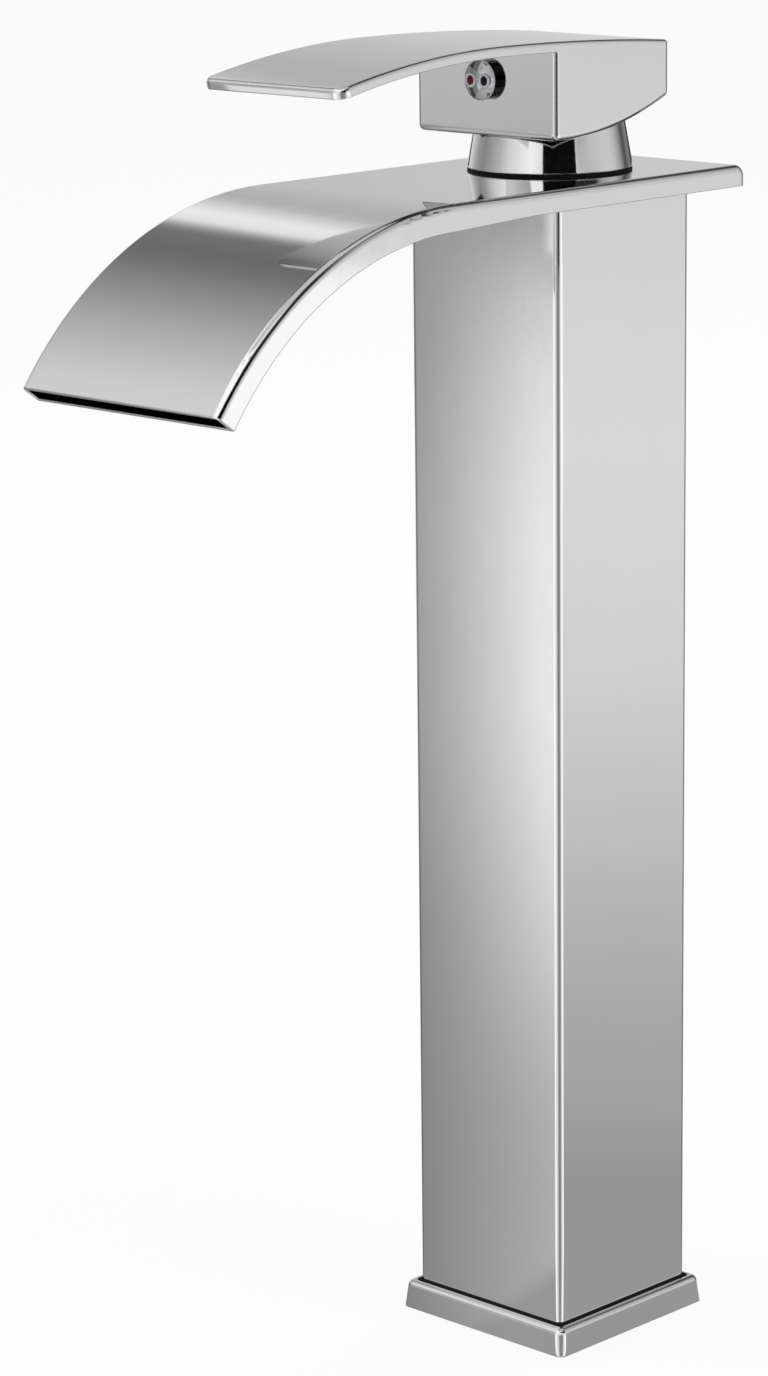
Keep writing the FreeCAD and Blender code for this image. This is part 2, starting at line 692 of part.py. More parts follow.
def make_retaining_nut():
    body = new_body("retaining_nut")
    low = "seat_height + flange_thick"
    half = new_sketch(body, "half", "XZ_Plane")
    draw_outline(half, [
        ("shell_radius + nut_fit", low),
        ("nut_radius", low),
        ("nut_radius", "neck_top"),
        ("shell_radius + nut_fit", "neck_top"),
    ])
    revolve(body, "thread", half)
    head = new_sketch(body, "head_plan", "XY_Plane", "neck_top")
    corners = []
    for step in range(6):
        angle = 60 * step
        corners.append(("nut_flats / 2 / cos(30) * cos(%d)" % angle,
                        "nut_flats / 2 / cos(30) * sin(%d)" % angle))
    draw_outline(head, corners)
    pad(body, "head", head, "nut_head")
    bore = new_sketch(body, "bore_plan", "XY_Plane", low)
    draw_circle(bore, "0", "0", "shell_radius + nut_fit")
    pocket(body, "bore", bore, "neck_top + nut_head - " + low.replace(" + ", " - "), up=True)


# ---------------------------------------------------------------- cartridge
CELL = "(well_floor + water_foot)"
DECK = "(well_floor + water_foot + base_plate)"
LOWER = "(well_floor + water_foot + base_plate + disc_thick)"
UPPER = "(well_floor + water_foot + base_plate + disc_thick + disc_gap)"
CARRY = "(well_floor + water_foot + base_plate + 2 * disc_thick + disc_gap)"
ROTOR = "(well_floor + water_foot + base_plate + 2 * disc_thick + disc_gap" \
        " + carrier_height + rotor_foot_gap)"
BORE = "(shell_radius - shell_wall)"


def make_cartridge_housing():
    body = new_body("cartridge_housing")
    half = new_sketch(body, "half", "XZ_Plane")
    draw_outline(half, [
        (BORE, CELL),
        ("shell_radius", CELL),
        ("shell_radius", "seat_height"),
        ("shell_flange", "seat_height"),
        ("shell_flange", "seat_height + flange_thick"),
        ("shell_radius", "seat_height + flange_thick"),
        ("shell_radius", "shell_top"),
        ("rotor_neck + turn_fit", "shell_top"),
        ("rotor_neck + turn_fit", "shell_top - shell_lip"),
        (BORE, "shell_top - shell_lip"),
    ])
    revolve(body, "shell", half)


def curved_port(side):
    """The corners of a port between two radii, on one side of the front."""
    out = "right" if side == "" else "left"
    back = "left" if side == "" else "right"

    def corner(radius, angle):
        return ("%s%s * sin(%s)" % (side, radius, angle), "-%s * cos(%s)" % (radius, angle))

    return [
        corner("port_inner", "port_first") + ("port_inner", out),
        corner("port_inner", "port_last"),
        corner("port_outer", "port_last") + ("port_outer", back),
        corner("port_outer", "port_first"),
    ]


def make_fixed_disc():
    body = new_body("fixed_disc")
    plan = new_sketch(body, "plan", "XY_Plane", DECK)
    draw_circle(plan, "0", "0", BORE + " - turn_fit")
    draw_circle(plan, "0", "0", "outlet_radius")
    pad(body, "disc", plan, "disc_thick")
    for side, word in (("-", "hot"), ("", "cold")):
        port = new_sketch(body, word + "_port", "XY_Plane", DECK)
        draw_outline(port, curved_port(side))
        pocket(body, word + "_way", port, "disc_thick", up=True)


def make_cartridge_base():
    body = new_body("cartridge_base")
    plan = new_sketch(body, "plan", "XY_Plane", CELL)
    draw_circle(plan, "0", "0", BORE + " - turn_fit")
    draw_circle(plan, "0", "0", "outlet_radius")
    pad(body, "plate", plan, "base_plate")
    for side, word in (("-", "hot"), ("", "cold")):
        port = new_sketch(body, word + "_port", "XY_Plane", DECK)
        draw_outline(port, curved_port(side))
        pocket(body, word + "_way", port, "base_plate / 2")
    ports = new_sketch(body, "bore_plan", "XY_Plane", CELL)
    rings = new_sketch(body, "ring_plan", "XY_Plane", CELL)
    for x, y in WAYS:
        draw_circle(ports, x, y, "port_bore")
        draw_circle(rings, x, y, "port_bore + port_ring")
    pocket(body, "bores", ports, "base_plate / 2 + water_foot", up=True)
    pocket(body, "ring_seats", rings, "water_foot", up=True)


def make_port_seals():
    body = new_body("port_seals")
    plan = new_sketch(body, "plan", "XY_Plane", "well_floor")
    for x, y in WAYS:
        draw_circle(plan, x, y, "port_bore + soft_fit")
        draw_circle(plan, x, y, "port_bore + port_ring - soft_fit")
    pad(body, "rings", plan, "2 * water_foot")


def make_moving_disc():
    body = new_body("moving_disc")
    plan = new_sketch(body, "plan", "XY_Plane", UPPER)
    draw_circle(plan, "0", "slide_rest", "disc_radius")
    pad(body, "disc", plan, "disc_thick")
    chamber = new_sketch(body, "chamber", "XY_Plane", UPPER)
    draw_circle(chamber, "0", "0", "mix_radius")
    pocket(body, "mixing_chamber", chamber, "mix_depth", up=True)


def make_disc_carrier():
    body = new_body("disc_carrier")
    plan = new_sketch(body, "plan", "XY_Plane", CARRY)
    reach = "sqrt(disc_radius * disc_radius - carrier_flat * carrier_flat)"
    low = "slide_rest - " + reach
    high = "slide_rest + " + reach
    draw_outline(plan, [
        ("carrier_flat", low),
        ("carrier_flat", high, "disc_radius", "right"),
        ("-carrier_flat", high),
        ("-carrier_flat", low, "disc_radius", "right"),
    ])
    pad(body, "block", plan, "carrier_height")
    slot = new_sketch(body, "slot_plan", "XY_Plane", CARRY + " + carrier_height")
    wide = "ball_radius + guide_fit"
    draw_box(slot, "-stem_width / 2 - swing_gap", "stem_width / 2 + swing_gap",
             "-(%s)" % wide, wide)
    deep = CARRY + " + carrier_height - pivot_height + arm_length + ball_radius + swing_gap"
    pocket(body, "slot", slot, deep)


def make_cartridge_rotor():
    body = new_body("cartridge_rotor")
    half = new_sketch(body, "half", "XZ_Plane")
    draw_outline(half, [
        ("0", ROTOR),
        (BORE + " - turn_fit", ROTOR),
        (BORE + " - turn_fit", "shell_top - shell_lip - turn_fit"),
        ("rotor_neck", "shell_top - shell_lip - turn_fit"),
        ("rotor_neck", "rotor_top"),
        ("0", "rotor_top"),
    ])
    revolve(body, "drum", half)
    legs = new_sketch(body, "leg_plan", "XY_Plane", ROTOR)
    inside = "carrier_flat + guide_fit"
    reach = "sqrt((%s - turn_fit) * (%s - turn_fit) - (%s) * (%s))" % (
        BORE, BORE, inside, inside)
    for side in ("", "-"):
        first = legs.GeometryCount
        sign = "-(%s)" % reach if side == "" else reach
        other = reach if side == "" else "-(%s)" % reach
        x = "%s(%s)" % (side, inside)
        start = Vector(val(x), val(sign), 0)
        end = Vector(val(x), val(other), 0)
        legs.addGeometry(arc_between(start, end, val(BORE + " - turn_fit"), False), False)
        legs.addGeometry(Part.LineSegment(end, start), False)
        legs.addConstraint(Sketcher.Constraint("Coincident", first, 2, first + 1, 1))
        legs.addConstraint(Sketcher.Constraint("Coincident", first + 1, 2, first, 1))
        fix_point(legs, first, 1, (x, sign))
        fix_point(legs, first, 2, (x, other))
        number = legs.addConstraint(
            Sketcher.Constraint("Radius", first, val(BORE + " - turn_fit")))
        legs.setExpression("Constraints[%d]" % number, full(BORE + " - turn_fit"))
    pad(body, "legs", legs, "rotor_leg", down=True)
    slot = new_sketch(body, "slot_side", "YZ_Plane")
    high = "(rotor_top - pivot_height + swing_gap)"
    low = "(pivot_height - %s + swing_gap)" % ROTOR
    lean = "(stem_depth / 2 / cos(lift_angle) + %s * tan(lift_angle) + swing_gap)" % high
    kick = "(arm_length * sin(lift_angle) + ball_radius + swing_gap)"
    hub = "stem_hub + swing_gap"
    draw_outline(slot, [
        ("-" + kick, "pivot_height - " + low),
        (hub, "pivot_height - " + low),
        (hub, "pivot_height"),
        (lean, "pivot_height + " + high),
        ("-(%s)" % hub, "pivot_height + " + high),
        ("-(%s)" % hub, "pivot_height - stem_hub"),
    ])
    pocket(body, "slot", slot, "stem_width + 2 * guide_fit", symmetric=True)
    pin = new_sketch(body, "pin_side", "YZ_Plane")
    draw_circle(pin, "0", "pivot_height", "pin_radius + pin_press")
    pocket(body, "pin_hole", pin, "2 * shell_radius", symmetric=True)


def make_lever_pin():
    body = new_body("lever_pin")
    plan = new_sketch(body, "plan", "YZ_Plane")
    draw_circle(plan, "0", "pivot_height", "pin_radius")
    pad(body, "pin", plan, "pin_length", symmetric=True)


def make_cartridge_stem():
    body = new_body("cartridge_stem")
    hub = new_sketch(body, "hub_side", "YZ_Plane")
    draw_circle(hub, "0", "pivot_height", "stem_hub")
    pad(body, "hub", hub, "stem_width", symmetric=True)
    post = new_sketch(body, "post_plan", "XY_Plane", "pivot_height")
    draw_box(post, "-stem_width / 2", "stem_width / 2", "-stem_depth / 2", "stem_depth / 2")
    pad(body, "post", post, "stem_top - pivot_height")
    arm = new_sketch(body, "arm_plan", "XY_Plane", "pivot_height")
    draw_box(arm, "-stem_width / 2", "stem_width / 2", "-arm_width / 2", "arm_width / 2")
    pad(body, "arm", arm, "arm_length", down=True)
    ball = new_sketch(body, "ball_side", "YZ_Plane")
    draw_circle(ball, "0", "pivot_height - arm_length", "ball_radius")
    pad(body, "ball", ball, "stem_width", symmetric=True)
    pin = new_sketch(body, "pin_side", "YZ_Plane")
    draw_circle(pin, "0", "pivot_height", "pin_radius + pin_fit")
    pocket(body, "pin_hole", pin, "2 * stem_width", symmetric=True)


# ---------------------------------------------------------------- handle
def make_handle():
    body = new_body("handle")
    front_run = "(lever_reach - lever_crest)"
    front_radius = "((%s * %s + lever_drop * lever_drop) / (2 * lever_drop))" % (
        front_run, front_run)
    rear_run = "(lever_crest + block_rear)"
    rear_radius = "((%s * %s + rear_drop * rear_drop) / (2 * rear_drop))" % (
        rear_run, rear_run)
    rise = "(block_rear + sweep_start)"
    rear_z = "block_bottom + sweep_radius - sqrt(sweep_radius * sweep_radius - %s * %s)" % (
        rise, rise)

    def crown(y, depth):
        """The height of the lever's upper line at y, or of a line under it."""
        away = "(%s + lever_crest)" % y
        size = "(%s - %s)" % (rear_radius, depth)
        return "lever_top - %s + sqrt(%s * %s - %s * %s)" % (
            rear_radius, size, size, away, away)

    tip_x = "-lever_reach + lever_thick * %s / %s" % (front_run, front_radius)
    fall = "(lever_thick * sqrt(1 - (%s / %s) * (%s / %s)))" % (
        front_run, front_radius, front_run, front_radius)
    side = new_sketch(body, "side", "YZ_Plane")
    draw_outline(side, [
        ("-lever_reach", "lever_top - lever_drop", front_radius, "left"),
        ("-lever_crest", "lever_top", rear_radius, "left"),
        ("block_rear", "lever_top - rear_drop"),
        ("block_rear", rear_z, "sweep_radius", "left"),
        ("-sweep_start", "block_bottom"),
        ("-block_front", "block_bottom"),
        ("-block_front", crown("-block_front", "lever_thick"),
         "(%s - lever_thick)" % rear_radius, "right"),
        ("-lever_crest", "lever_top - lever_thick", "(%s - lever_thick)" % front_radius,
         "right"),
        (tip_x, "lever_top - lever_drop - " + fall),
    ])
    pad(body, "block_and_lever", side, "handle_width", symmetric=True)
    tip = val("lever_reach")
    front = val("block_front")
    rear = val("block_rear")
    half = val("handle_width") / 2
    low = val(rear_z)
    run_in_front = val(front_radius)
    run_behind = val(rear_radius)

    def under_crown(point):
        """How far a point is under the lever's upper line."""
        away = point.y + val("lever_crest")
        radius = run_in_front if away < 0 else run_behind
        return val("lever_top") - radius + math.sqrt(radius ** 2 - away ** 2) - point.z

    def at_side(edge):
        return abs(abs(edge.CenterOfMass.x) - half) < 0.01

    def tip_corners(edge):
        return at_side(edge) and all(p.y < -tip + val("lever_thick") for p in ends_of(edge))

    round_edges(body, "tip_corners", "tip_corner", tip_corners)

    def block_edges(edge):
        middle = edge.CenterOfMass
        in_front = abs(middle.y + front) < 0.01
        behind = abs(middle.y - rear) < 0.01
        if upright(edge):
            return at_side(edge) and (in_front or behind)
        if middle.z > low + 0.3 or middle.y < -front - 1:
            return False
        return at_side(edge) or in_front or behind

    round_edges(body, "block_edges", "block_edge", block_edges)

    def rim(edge):
        middle = edge.CenterOfMass
        if not all(abs(under_crown(p)) < 0.02 for p in ends_of(edge)):
            return False
        if abs(middle.x) < half - val("tip_corner") and -tip + 0.5 < middle.y < rear - 0.5:
            return False
        return abs(under_crown(middle)) < 1.2

    round_edges(body, "rim", "top_edge", rim)
    hollow = new_sketch(body, "hollow_plan", "XY_Plane", "cavity_top")
    side_in = "handle_width / 2 - block_side"
    draw_box(hollow, "-(%s)" % side_in, side_in, "-block_front + block_wall",
             "block_rear - block_wall")
    pocket(body, "hollow", hollow, "cavity_top - block_bottom + block_wall")
    boss = new_sketch(body, "boss_plan", "XY_Plane", "boss_bottom")
    draw_box(boss, "-boss_width / 2", "boss_width / 2", "-boss_front", "boss_rear")
    pad(body, "boss", boss, "cavity_top - boss_bottom + boss_root")
    socket = new_sketch(body, "socket_plan", "XY_Plane", "boss_bottom")
    draw_box(socket, "-stem_width / 2 - stem_fit", "stem_width / 2 + stem_fit",
             "-stem_depth / 2 - stem_fit", "stem_depth / 2 + stem_fit")
    pocket(body, "socket", socket, "stem_top - boss_bottom + stem_room", up=True)
    bore = new_sketch(body, "plug_bore", "XZ_Plane", "block_front")
    draw_circle(bore, "0", "plug_height", "plug_shank + thread_fit")
    pocket(body, "plug_hole", bore, "2 * block_wall")
    screw = new_sketch(body, "screw_bore", "XZ_Plane", "boss_front")
    draw_circle(screw, "0", "plug_height", "screw_radius + thread_fit")
    pocket(body, "screw_hole", screw, "boss_front - stem_depth / 2")


def make_grub_screw():
    body = new_body("grub_screw")
    plan = new_sketch(body, "plan", "XZ_Plane", "stem_depth / 2 + screw_gap")
    draw_circle(plan, "0", "plug_height", "screw_radius")
    pad(body, "screw", plan, "screw_length")
    key = new_sketch(body, "key_plan", "XZ_Plane", "stem_depth / 2 + screw_gap + screw_length")
    corners = []
    for step in range(6):
        angle = 60 * step
        corners.append(("screw_hex / 2 / cos(30) * cos(%d)" % angle,
                        "plug_height + screw_hex / 2 / cos(30) * sin(%d)" % angle))
    draw_outline(key, corners)
    pocket(body, "key", key, "screw_length / 2")


# ---------------------------------------------------------------- index plug
DOME = "((plug_radius * plug_radius + plug_dome * plug_dome) / (2 * plug_dome))"
DOT_FACE = "(block_front + plug_rim + plug_dome - dot_side * dot_side / (2 * %s))" % DOME


def make_index_plug():
    body = new_body("index_plug")
    half = new_sketch(body, "half", "XY_Plane", "plug_height")
    draw_outline(half, [
        ("0", "-block_front + plug_depth"),
        ("plug_shank", "-block_front + plug_depth"),
        ("plug_shank", "-block_front"),
        ("plug_radius", "-block_front"),
        ("plug_radius", "-block_front - plug_rim", DOME, "left"),
        ("0", "-block_front - plug_rim - plug_dome"),
    ])
    revolve(body, "plug", half)
    holes = new_sketch(body, "dot_holes", "XZ_Plane", DOT_FACE + " - dot_sink")
    for side in ("-", ""):
        draw_circle(holes, side + "dot_side", "plug_height", "dot_radius + dot_fit")
    pocket(body, "dot_seats", holes, "plug_dome + plug_rim", up=True)


def make_dot(label, side):
    body = new_body(label)
    plan = new_sketch(body, "plan", "XZ_Plane", DOT_FACE + " - dot_sink")
    draw_circle(plan, side + "dot_side", "plug_height", "dot_radius")
    pad(body, "dot", plan, "dot_sink + dot_proud")


# ---------------------------------------------------------------- build
make_base_flange()
make_deck_seal()
make_column()
make_foot_block()
make_riser("hot_riser", WAYS[0])
make_riser("cold_riser", WAYS[1])
make_valve_body()
make_spout_gasket()
make_spout_shell()
make_spout_floor()
make_bonnet_seal()
make_bonnet()
make_retaining_nut()
make_cartridge_housing()
make_cartridge_base()
make_port_seals()
make_fixed_disc()
make_moving_disc()
make_disc_carrier()
make_cartridge_rotor()
make_lever_pin()
make_cartridge_stem()
make_handle()
make_grub_screw()
make_index_plug()
make_dot("hot_dot", "-")
make_dot("cold_dot", "")
doc.recompute()

for item in doc.Objects:
    if "Invalid" in item.State or "Error" in item.State:
        raise RuntimeError("%s failed: %s" % (item.Label, item.State))
bodies = [item for item in doc.Objects if item.TypeId == "PartDesign::Body"]
for body in bodies:
    if body.Shape.isNull() or not body.Shape.isValid():
        raise RuntimeError("%s has no valid shape" % body.Label)
os.makedirs("parts", exist_ok=True)
for body in bodies:
    body.Shape.exportStep("parts/%s.step" % body.Label)
    box = body.Shape.BoundBox
    print("%-18s solids %d volume %9.1f  x %.1f %.1f  y %.1f %.1f  z %.1f %.1f" % (
        body.Label, len(body.Shape.Solids), body.Shape.Volume,
        box.XMin, box.XMax, box.YMin, box.YMax, box.ZMin, box.ZMax))
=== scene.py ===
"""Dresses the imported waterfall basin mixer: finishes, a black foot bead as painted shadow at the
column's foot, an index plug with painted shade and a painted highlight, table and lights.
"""

import math

import bmesh
import bpy
from bpy.props import FloatProperty, FloatVectorProperty, IntProperty, PointerProperty
from mathutils import Matrix, Vector


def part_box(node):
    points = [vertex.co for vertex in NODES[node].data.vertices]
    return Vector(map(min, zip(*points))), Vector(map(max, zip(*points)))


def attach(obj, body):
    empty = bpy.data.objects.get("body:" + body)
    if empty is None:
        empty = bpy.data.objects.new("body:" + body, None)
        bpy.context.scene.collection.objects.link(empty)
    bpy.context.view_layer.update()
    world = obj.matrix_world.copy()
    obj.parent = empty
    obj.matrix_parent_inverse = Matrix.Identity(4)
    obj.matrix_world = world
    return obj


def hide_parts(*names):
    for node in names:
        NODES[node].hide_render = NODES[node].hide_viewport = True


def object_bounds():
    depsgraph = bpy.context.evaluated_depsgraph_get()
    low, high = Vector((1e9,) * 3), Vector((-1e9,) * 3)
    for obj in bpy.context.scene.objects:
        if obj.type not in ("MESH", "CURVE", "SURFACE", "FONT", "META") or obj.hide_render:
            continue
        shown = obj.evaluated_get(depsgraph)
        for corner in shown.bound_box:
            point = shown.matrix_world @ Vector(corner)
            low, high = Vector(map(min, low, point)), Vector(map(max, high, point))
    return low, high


bl_info = {
    "name": "Waterfall Basin Mixer",
    "version": (1, 0, 0),
    "blender": (4, 5, 0),
    "location": "3D View > Sidebar > Mixer",
    "description": "Builds the finishes, small pieces and product table of a tall waterfall mixer",
    "category": "Object",
}

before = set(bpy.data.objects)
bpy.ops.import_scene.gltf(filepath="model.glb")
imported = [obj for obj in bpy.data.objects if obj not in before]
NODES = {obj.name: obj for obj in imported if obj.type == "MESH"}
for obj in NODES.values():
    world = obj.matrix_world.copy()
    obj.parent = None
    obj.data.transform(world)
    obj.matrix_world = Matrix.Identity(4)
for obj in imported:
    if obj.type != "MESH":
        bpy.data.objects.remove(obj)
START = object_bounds()
MM = 0.001

CHROME_NODES = ("base_flange", "column", "spout_shell", "spout_floor", "bonnet", "handle")
BRASS_NODES = ("foot_block", "valve_body", "retaining_nut", "cartridge_stem")
TUBE_NODES = ("hot_riser", "cold_riser")
RUBBER_NODES = ("deck_seal", "spout_gasket", "bonnet_seal", "port_seals")
SHELL_NODES = ("cartridge_housing",)
PLASTIC_NODES = ("cartridge_base", "cartridge_rotor", "disc_carrier")
CERAMIC_NODES = ("fixed_disc", "moving_disc")
STEEL_NODES = ("lever_pin", "grub_screw")


# ---------------------------------------------------------------- what a user may change
def colour(name, text, default):
    return FloatVectorProperty(
        name=name, description=text, default=default, size=3, subtype="COLOR", min=0, max=1)


def length(name, text, default):
    return FloatProperty(
        name=name, description=text, default=default, unit="LENGTH", subtype="DISTANCE",
        precision=5)


def share(name, text, default):
    return FloatProperty(
        name=name, description=text, default=default, min=0, max=1, subtype="FACTOR")


class MixerFinish(bpy.types.PropertyGroup):
    chrome: colour("Chrome", "Colour of the polished plating", (0.632, 0.632, 0.634))
    chrome_haze: share("Chrome haze", "Roughness of the polished plating", 0.045)
    buffed_edge: length("Buffed edge", "How far the polish rounds a sharp edge", 0.42 * MM)
    plug_chrome: colour("Plug", "Colour of the smoked index plug", (0.40, 0.41, 0.43))
    # painted shade: the plug's side is coloured black for the shadow round the plug
    plug_side_shade: colour("Plug side", "Colour of the side of the index plug", (0.01, 0.01, 0.012))
    brass: colour("Brass", "Colour of the cast and turned brass", (0.70, 0.50, 0.24))
    tube: colour("Tube", "Colour of the drawn water tubes", (0.72, 0.45, 0.28))
    # painted shadow: the black bead stands for the shade at the joint of the column and the base
    foot_bead: length("Foot bead", "Width of the black bead round the column's foot", 0.45 * MM)
    rubber: colour("Rubber", "Colour of the seals", (0.006, 0.006, 0.007))
    shell: colour("Cartridge", "Colour of the cartridge's shell", (0.78, 0.79, 0.78))
    plastic: colour("Inner plastic", "Colour of the cartridge's moving pieces",
                    (0.20, 0.22, 0.25))
    ceramic: colour("Ceramic", "Colour of the lapped discs", (0.88, 0.87, 0.83))
    steel: colour("Steel", "Colour of the pin and the screw", (0.56, 0.57, 0.59))
    hot: colour("Hot mark", "Enamel of the hot mark", (0.17, 0.004, 0.005))
    cold: colour("Cold mark", "Enamel of the cold mark", (0.002, 0.004, 0.016))
    # pale paint of the marks' rims, and also the painted highlight along the edge of the plug's
    # face
    pale_rims_and_highlight: colour("Mark rims", "Colour of the pale rims round the plug and its marks",
                 (0.97, 0.95, 0.96))


class MixerPlug(bpy.types.PropertyGroup):
    rim_wire: length("Mark rim", "Half the thickness of the pale rim round a mark", 0.3 * MM)
    # the plug's face rim is a painted highlight along the edge of the face
    face_highlight_rim: length("Face rim", "Half the thickness of the pale rim round the plug's face",
                     0.13 * MM)
    face_sag: length("Face sag", "How far the rim of the plug's face lies behind its middle",
                     0.98 * MM)
    enamel_crown: length("Enamel crown", "Height of the enamel's crown", 0.16 * MM)
    rings: IntProperty(name="Steps", description="Steps round a turned piece", default=96, min=24)


class MixerStage(bpy.types.PropertyGroup):
    lens: FloatProperty(name="Lens", description="Focal length of the camera", default=115.32,
                        min=20, max=300, unit="CAMERA")
    lamp_power: FloatProperty(name="Lamp", description="Power of each soft lamp", default=9.0,
                              min=0, max=100, unit="POWER")
    sky_level: FloatProperty(name="Sky", description="Brightness of the even light",
                             default=0.62, min=0, max=2)
    tent_radius: length("Tent radius", "Radius of the light tent", 9.0)
    flag_distance: length("Flag distance", "Distance of the black flags from the axis", 0.5)


# ---------------------------------------------------------------- finishes
NOISE_SPREAD = (0.3, 0.7)  # where nearly all of a noise's values lie
HAZE_SPREAD = (0.7, 1.5)  # the least and the most haze, as shares of the set one
RIPPLE = 0.004 * MM  # the slow waves of a polished face
SIDE_SHADE_BLUR = 0.04 * MM  # half the width over which the plug's plating turns to the painted black shade of its side


class Recipe:
    """A material's node tree, built from the left to the right."""

    def __init__(self, name):
        self.material = bpy.data.materials.new(name)
        self.material.use_nodes = True
        self.tree = self.material.node_tree
        self.shader = self.tree.nodes["Principled BSDF"]
        self.place = self.add("ShaderNodeTexCoord").outputs["Object"]
        self.normal = None

    def add(self, kind, **values):
        node = self.tree.nodes.new(kind)
        for key, value in values.items():
            setattr(node, key, value)
        return node

    def link(self, source, target):
        self.tree.links.new(source, target)

    def noise(self, scale, detail=2.0, stretch=None):
        """A noise in the piece's own metres, stretched along its axes if asked."""
        node = self.add("ShaderNodeTexNoise")
        node.inputs["Scale"].default_value = scale
        node.inputs["Detail"].default_value = detail
        place = self.place
        if stretch:
            mapping = self.add("ShaderNodeMapping")
            mapping.inputs["Scale"].default_value = stretch
            self.link(place, mapping.inputs["Vector"])
            place = mapping.outputs["Vector"]
        self.link(place, node.inputs["Vector"])
        return node.outputs["Fac"]

    def span(self, value, low, high, first=0.0, last=1.0, kind="LINEAR"):
        """Runs from first to last as the value goes from low to high, and stays there."""
        node = self.add("ShaderNodeMapRange", interpolation_type=kind)
        for key, number in (("From Min", low), ("From Max", high), ("To Min", first),
                            ("To Max", last)):
            node.inputs[key].default_value = number
        self.link(value, node.inputs["Value"])
        return node.outputs["Result"]

    def between(self, noise, low, high):
        """A noise, drawn out to run from low to high."""
        return self.span(noise, *NOISE_SPREAD, low, high)

    def tint(self, value, base, spread):
        """The base colour, darker and lighter by the spread as the value moves."""
        ramp = self.add("ShaderNodeValToRGB")
        stops = ramp.color_ramp.elements
        stops[0].position, stops[1].position = NOISE_SPREAD
        stops[0].color = [*(max(0.0, c * (1 - spread)) for c in base), 1]
        stops[1].color = [*(min(1.0, c * (1 + spread)) for c in base), 1]
        self.link(value, ramp.inputs["Fac"])
        self.link(ramp.outputs["Color"], self.shader.inputs["Base Color"])

    def rough(self, value, low, high):
        self.link(self.between(value, low, high), self.shader.inputs["Roughness"])

    def soften(self, radius):
        """Rounds the sharp edges as far as light sees them."""
        node = self.add("ShaderNodeBevel")
        node.samples = 6
        node.inputs["Radius"].default_value = radius
        self.normal = node.outputs["Normal"]

    def bump(self, value, height, strength=1.0):
        node = self.add("ShaderNodeBump")
        node.inputs["Strength"].default_value = strength
        node.inputs["Distance"].default_value = height
        self.link(value, node.inputs["Height"])
        if self.normal:
            self.link(self.normal, node.inputs["Normal"])
        self.normal = node.outputs["Normal"]
        self.link(self.normal, self.shader.inputs["Normal"])

    def fixed(self, **values):
        for key, value in values.items():
            self.shader.inputs[key.replace("_", " ").title().replace("Ior", "IOR")] \
                .default_value = value


def polished_metal(name, base, haze, edge):
    """Plating with a slow ripple, an uneven breath of haze and buffed edges."""
    recipe = Recipe(name)
    recipe.fixed(metallic=1.0)
    recipe.soften(edge)
    recipe.tint(recipe.noise(18, 3), base, 0.012)
    recipe.rough(recipe.noise(420, 5, (1, 1, 0.35)), *(haze * part for part in HAZE_SPREAD))
    recipe.bump(recipe.noise(160, 2), RIPPLE)
    return recipe.material


def plug_with_painted_side_shade(name, base, side, haze, edge):
    """Smoked plating on the face and painted shade on the side, black for the shadow round the
    plug, parted where Y passes the edge.
    """
    recipe = Recipe(name)
    recipe.fixed(metallic=1.0)
    split = recipe.add("ShaderNodeSeparateXYZ")
    recipe.link(recipe.place, split.inputs[0])
    # the mask of the painted shade: the plug turns black behind the face's edge
    depth = recipe.span(split.outputs["Y"], edge - SIDE_SHADE_BLUR, edge + SIDE_SHADE_BLUR)
    grain = recipe.between(recipe.noise(500, 3), -0.03, 0.03)
    side_shade_mask = recipe.add("ShaderNodeMath", operation="ADD", use_clamp=True)
    recipe.link(depth, side_shade_mask.inputs[0])
    recipe.link(grain, side_shade_mask.inputs[1])
    ramp = recipe.add("ShaderNodeValToRGB")
    ramp.color_ramp.elements[0].color = (*base, 1)
    ramp.color_ramp.elements[1].color = (*side, 1)
    recipe.link(side_shade_mask.outputs[0], ramp.inputs["Fac"])
    recipe.link(ramp.outputs["Color"], recipe.shader.inputs["Base Color"])
    recipe.rough(recipe.noise(420, 5), *(haze * part for part in HAZE_SPREAD))
    return recipe.material


def turned_metal(name, base, low, high):
    """Machined metal with fine tool marks and a darkened grain."""
    recipe = Recipe(name)
    recipe.fixed(metallic=1.0)
    recipe.tint(recipe.noise(240, 4), base, 0.10)
    recipe.rough(recipe.noise(900, 3, (1, 1, 6)), low, high)
    recipe.bump(recipe.noise(2200, 2, (1, 1, 5)), 0.01 * MM, 0.6)
    return recipe.material


def soft_rubber(name, base):
    """Matt rubber with a dusty, uneven grain."""
    recipe = Recipe(name)
    recipe.tint(recipe.noise(500, 4), base, 0.25)
    recipe.fixed(specular_ior_level=0.12)
    recipe.rough(recipe.noise(1400, 3), 0.55, 0.78)
    recipe.bump(recipe.noise(3000, 3), 0.02 * MM, 0.5)
    return recipe.material


def moulded(name, base, low=0.34, high=0.5):
    """Moulded plastic with a fine spark-eroded grain."""
    recipe = Recipe(name)
    recipe.tint(recipe.noise(90, 3), base, 0.03)
    recipe.rough(recipe.noise(1100, 3), low, high)
    recipe.bump(recipe.noise(3600, 2), 0.008 * MM, 0.5)
    return recipe.material


def lapped_ceramic(name, base):
    """Ceramic lapped to a near gloss."""
    recipe = Recipe(name)
    recipe.tint(recipe.noise(300, 3), base, 0.02)
    recipe.rough(recipe.noise(1500, 2), 0.12, 0.22)
    recipe.bump(recipe.noise(2600, 2), 0.004 * MM, 0.4)
    return recipe.material


def enamel(name, base):
    """Poured enamel, flush and nearly matt."""
    recipe = Recipe(name)
    recipe.tint(recipe.noise(1600, 2), base, 0.12)
    recipe.rough(recipe.noise(900, 2), 0.30, 0.42)
    recipe.fixed(specular_ior_level=0.15)
    recipe.bump(recipe.noise(1200, 2), 0.004 * MM, 0.4)
    return recipe.material


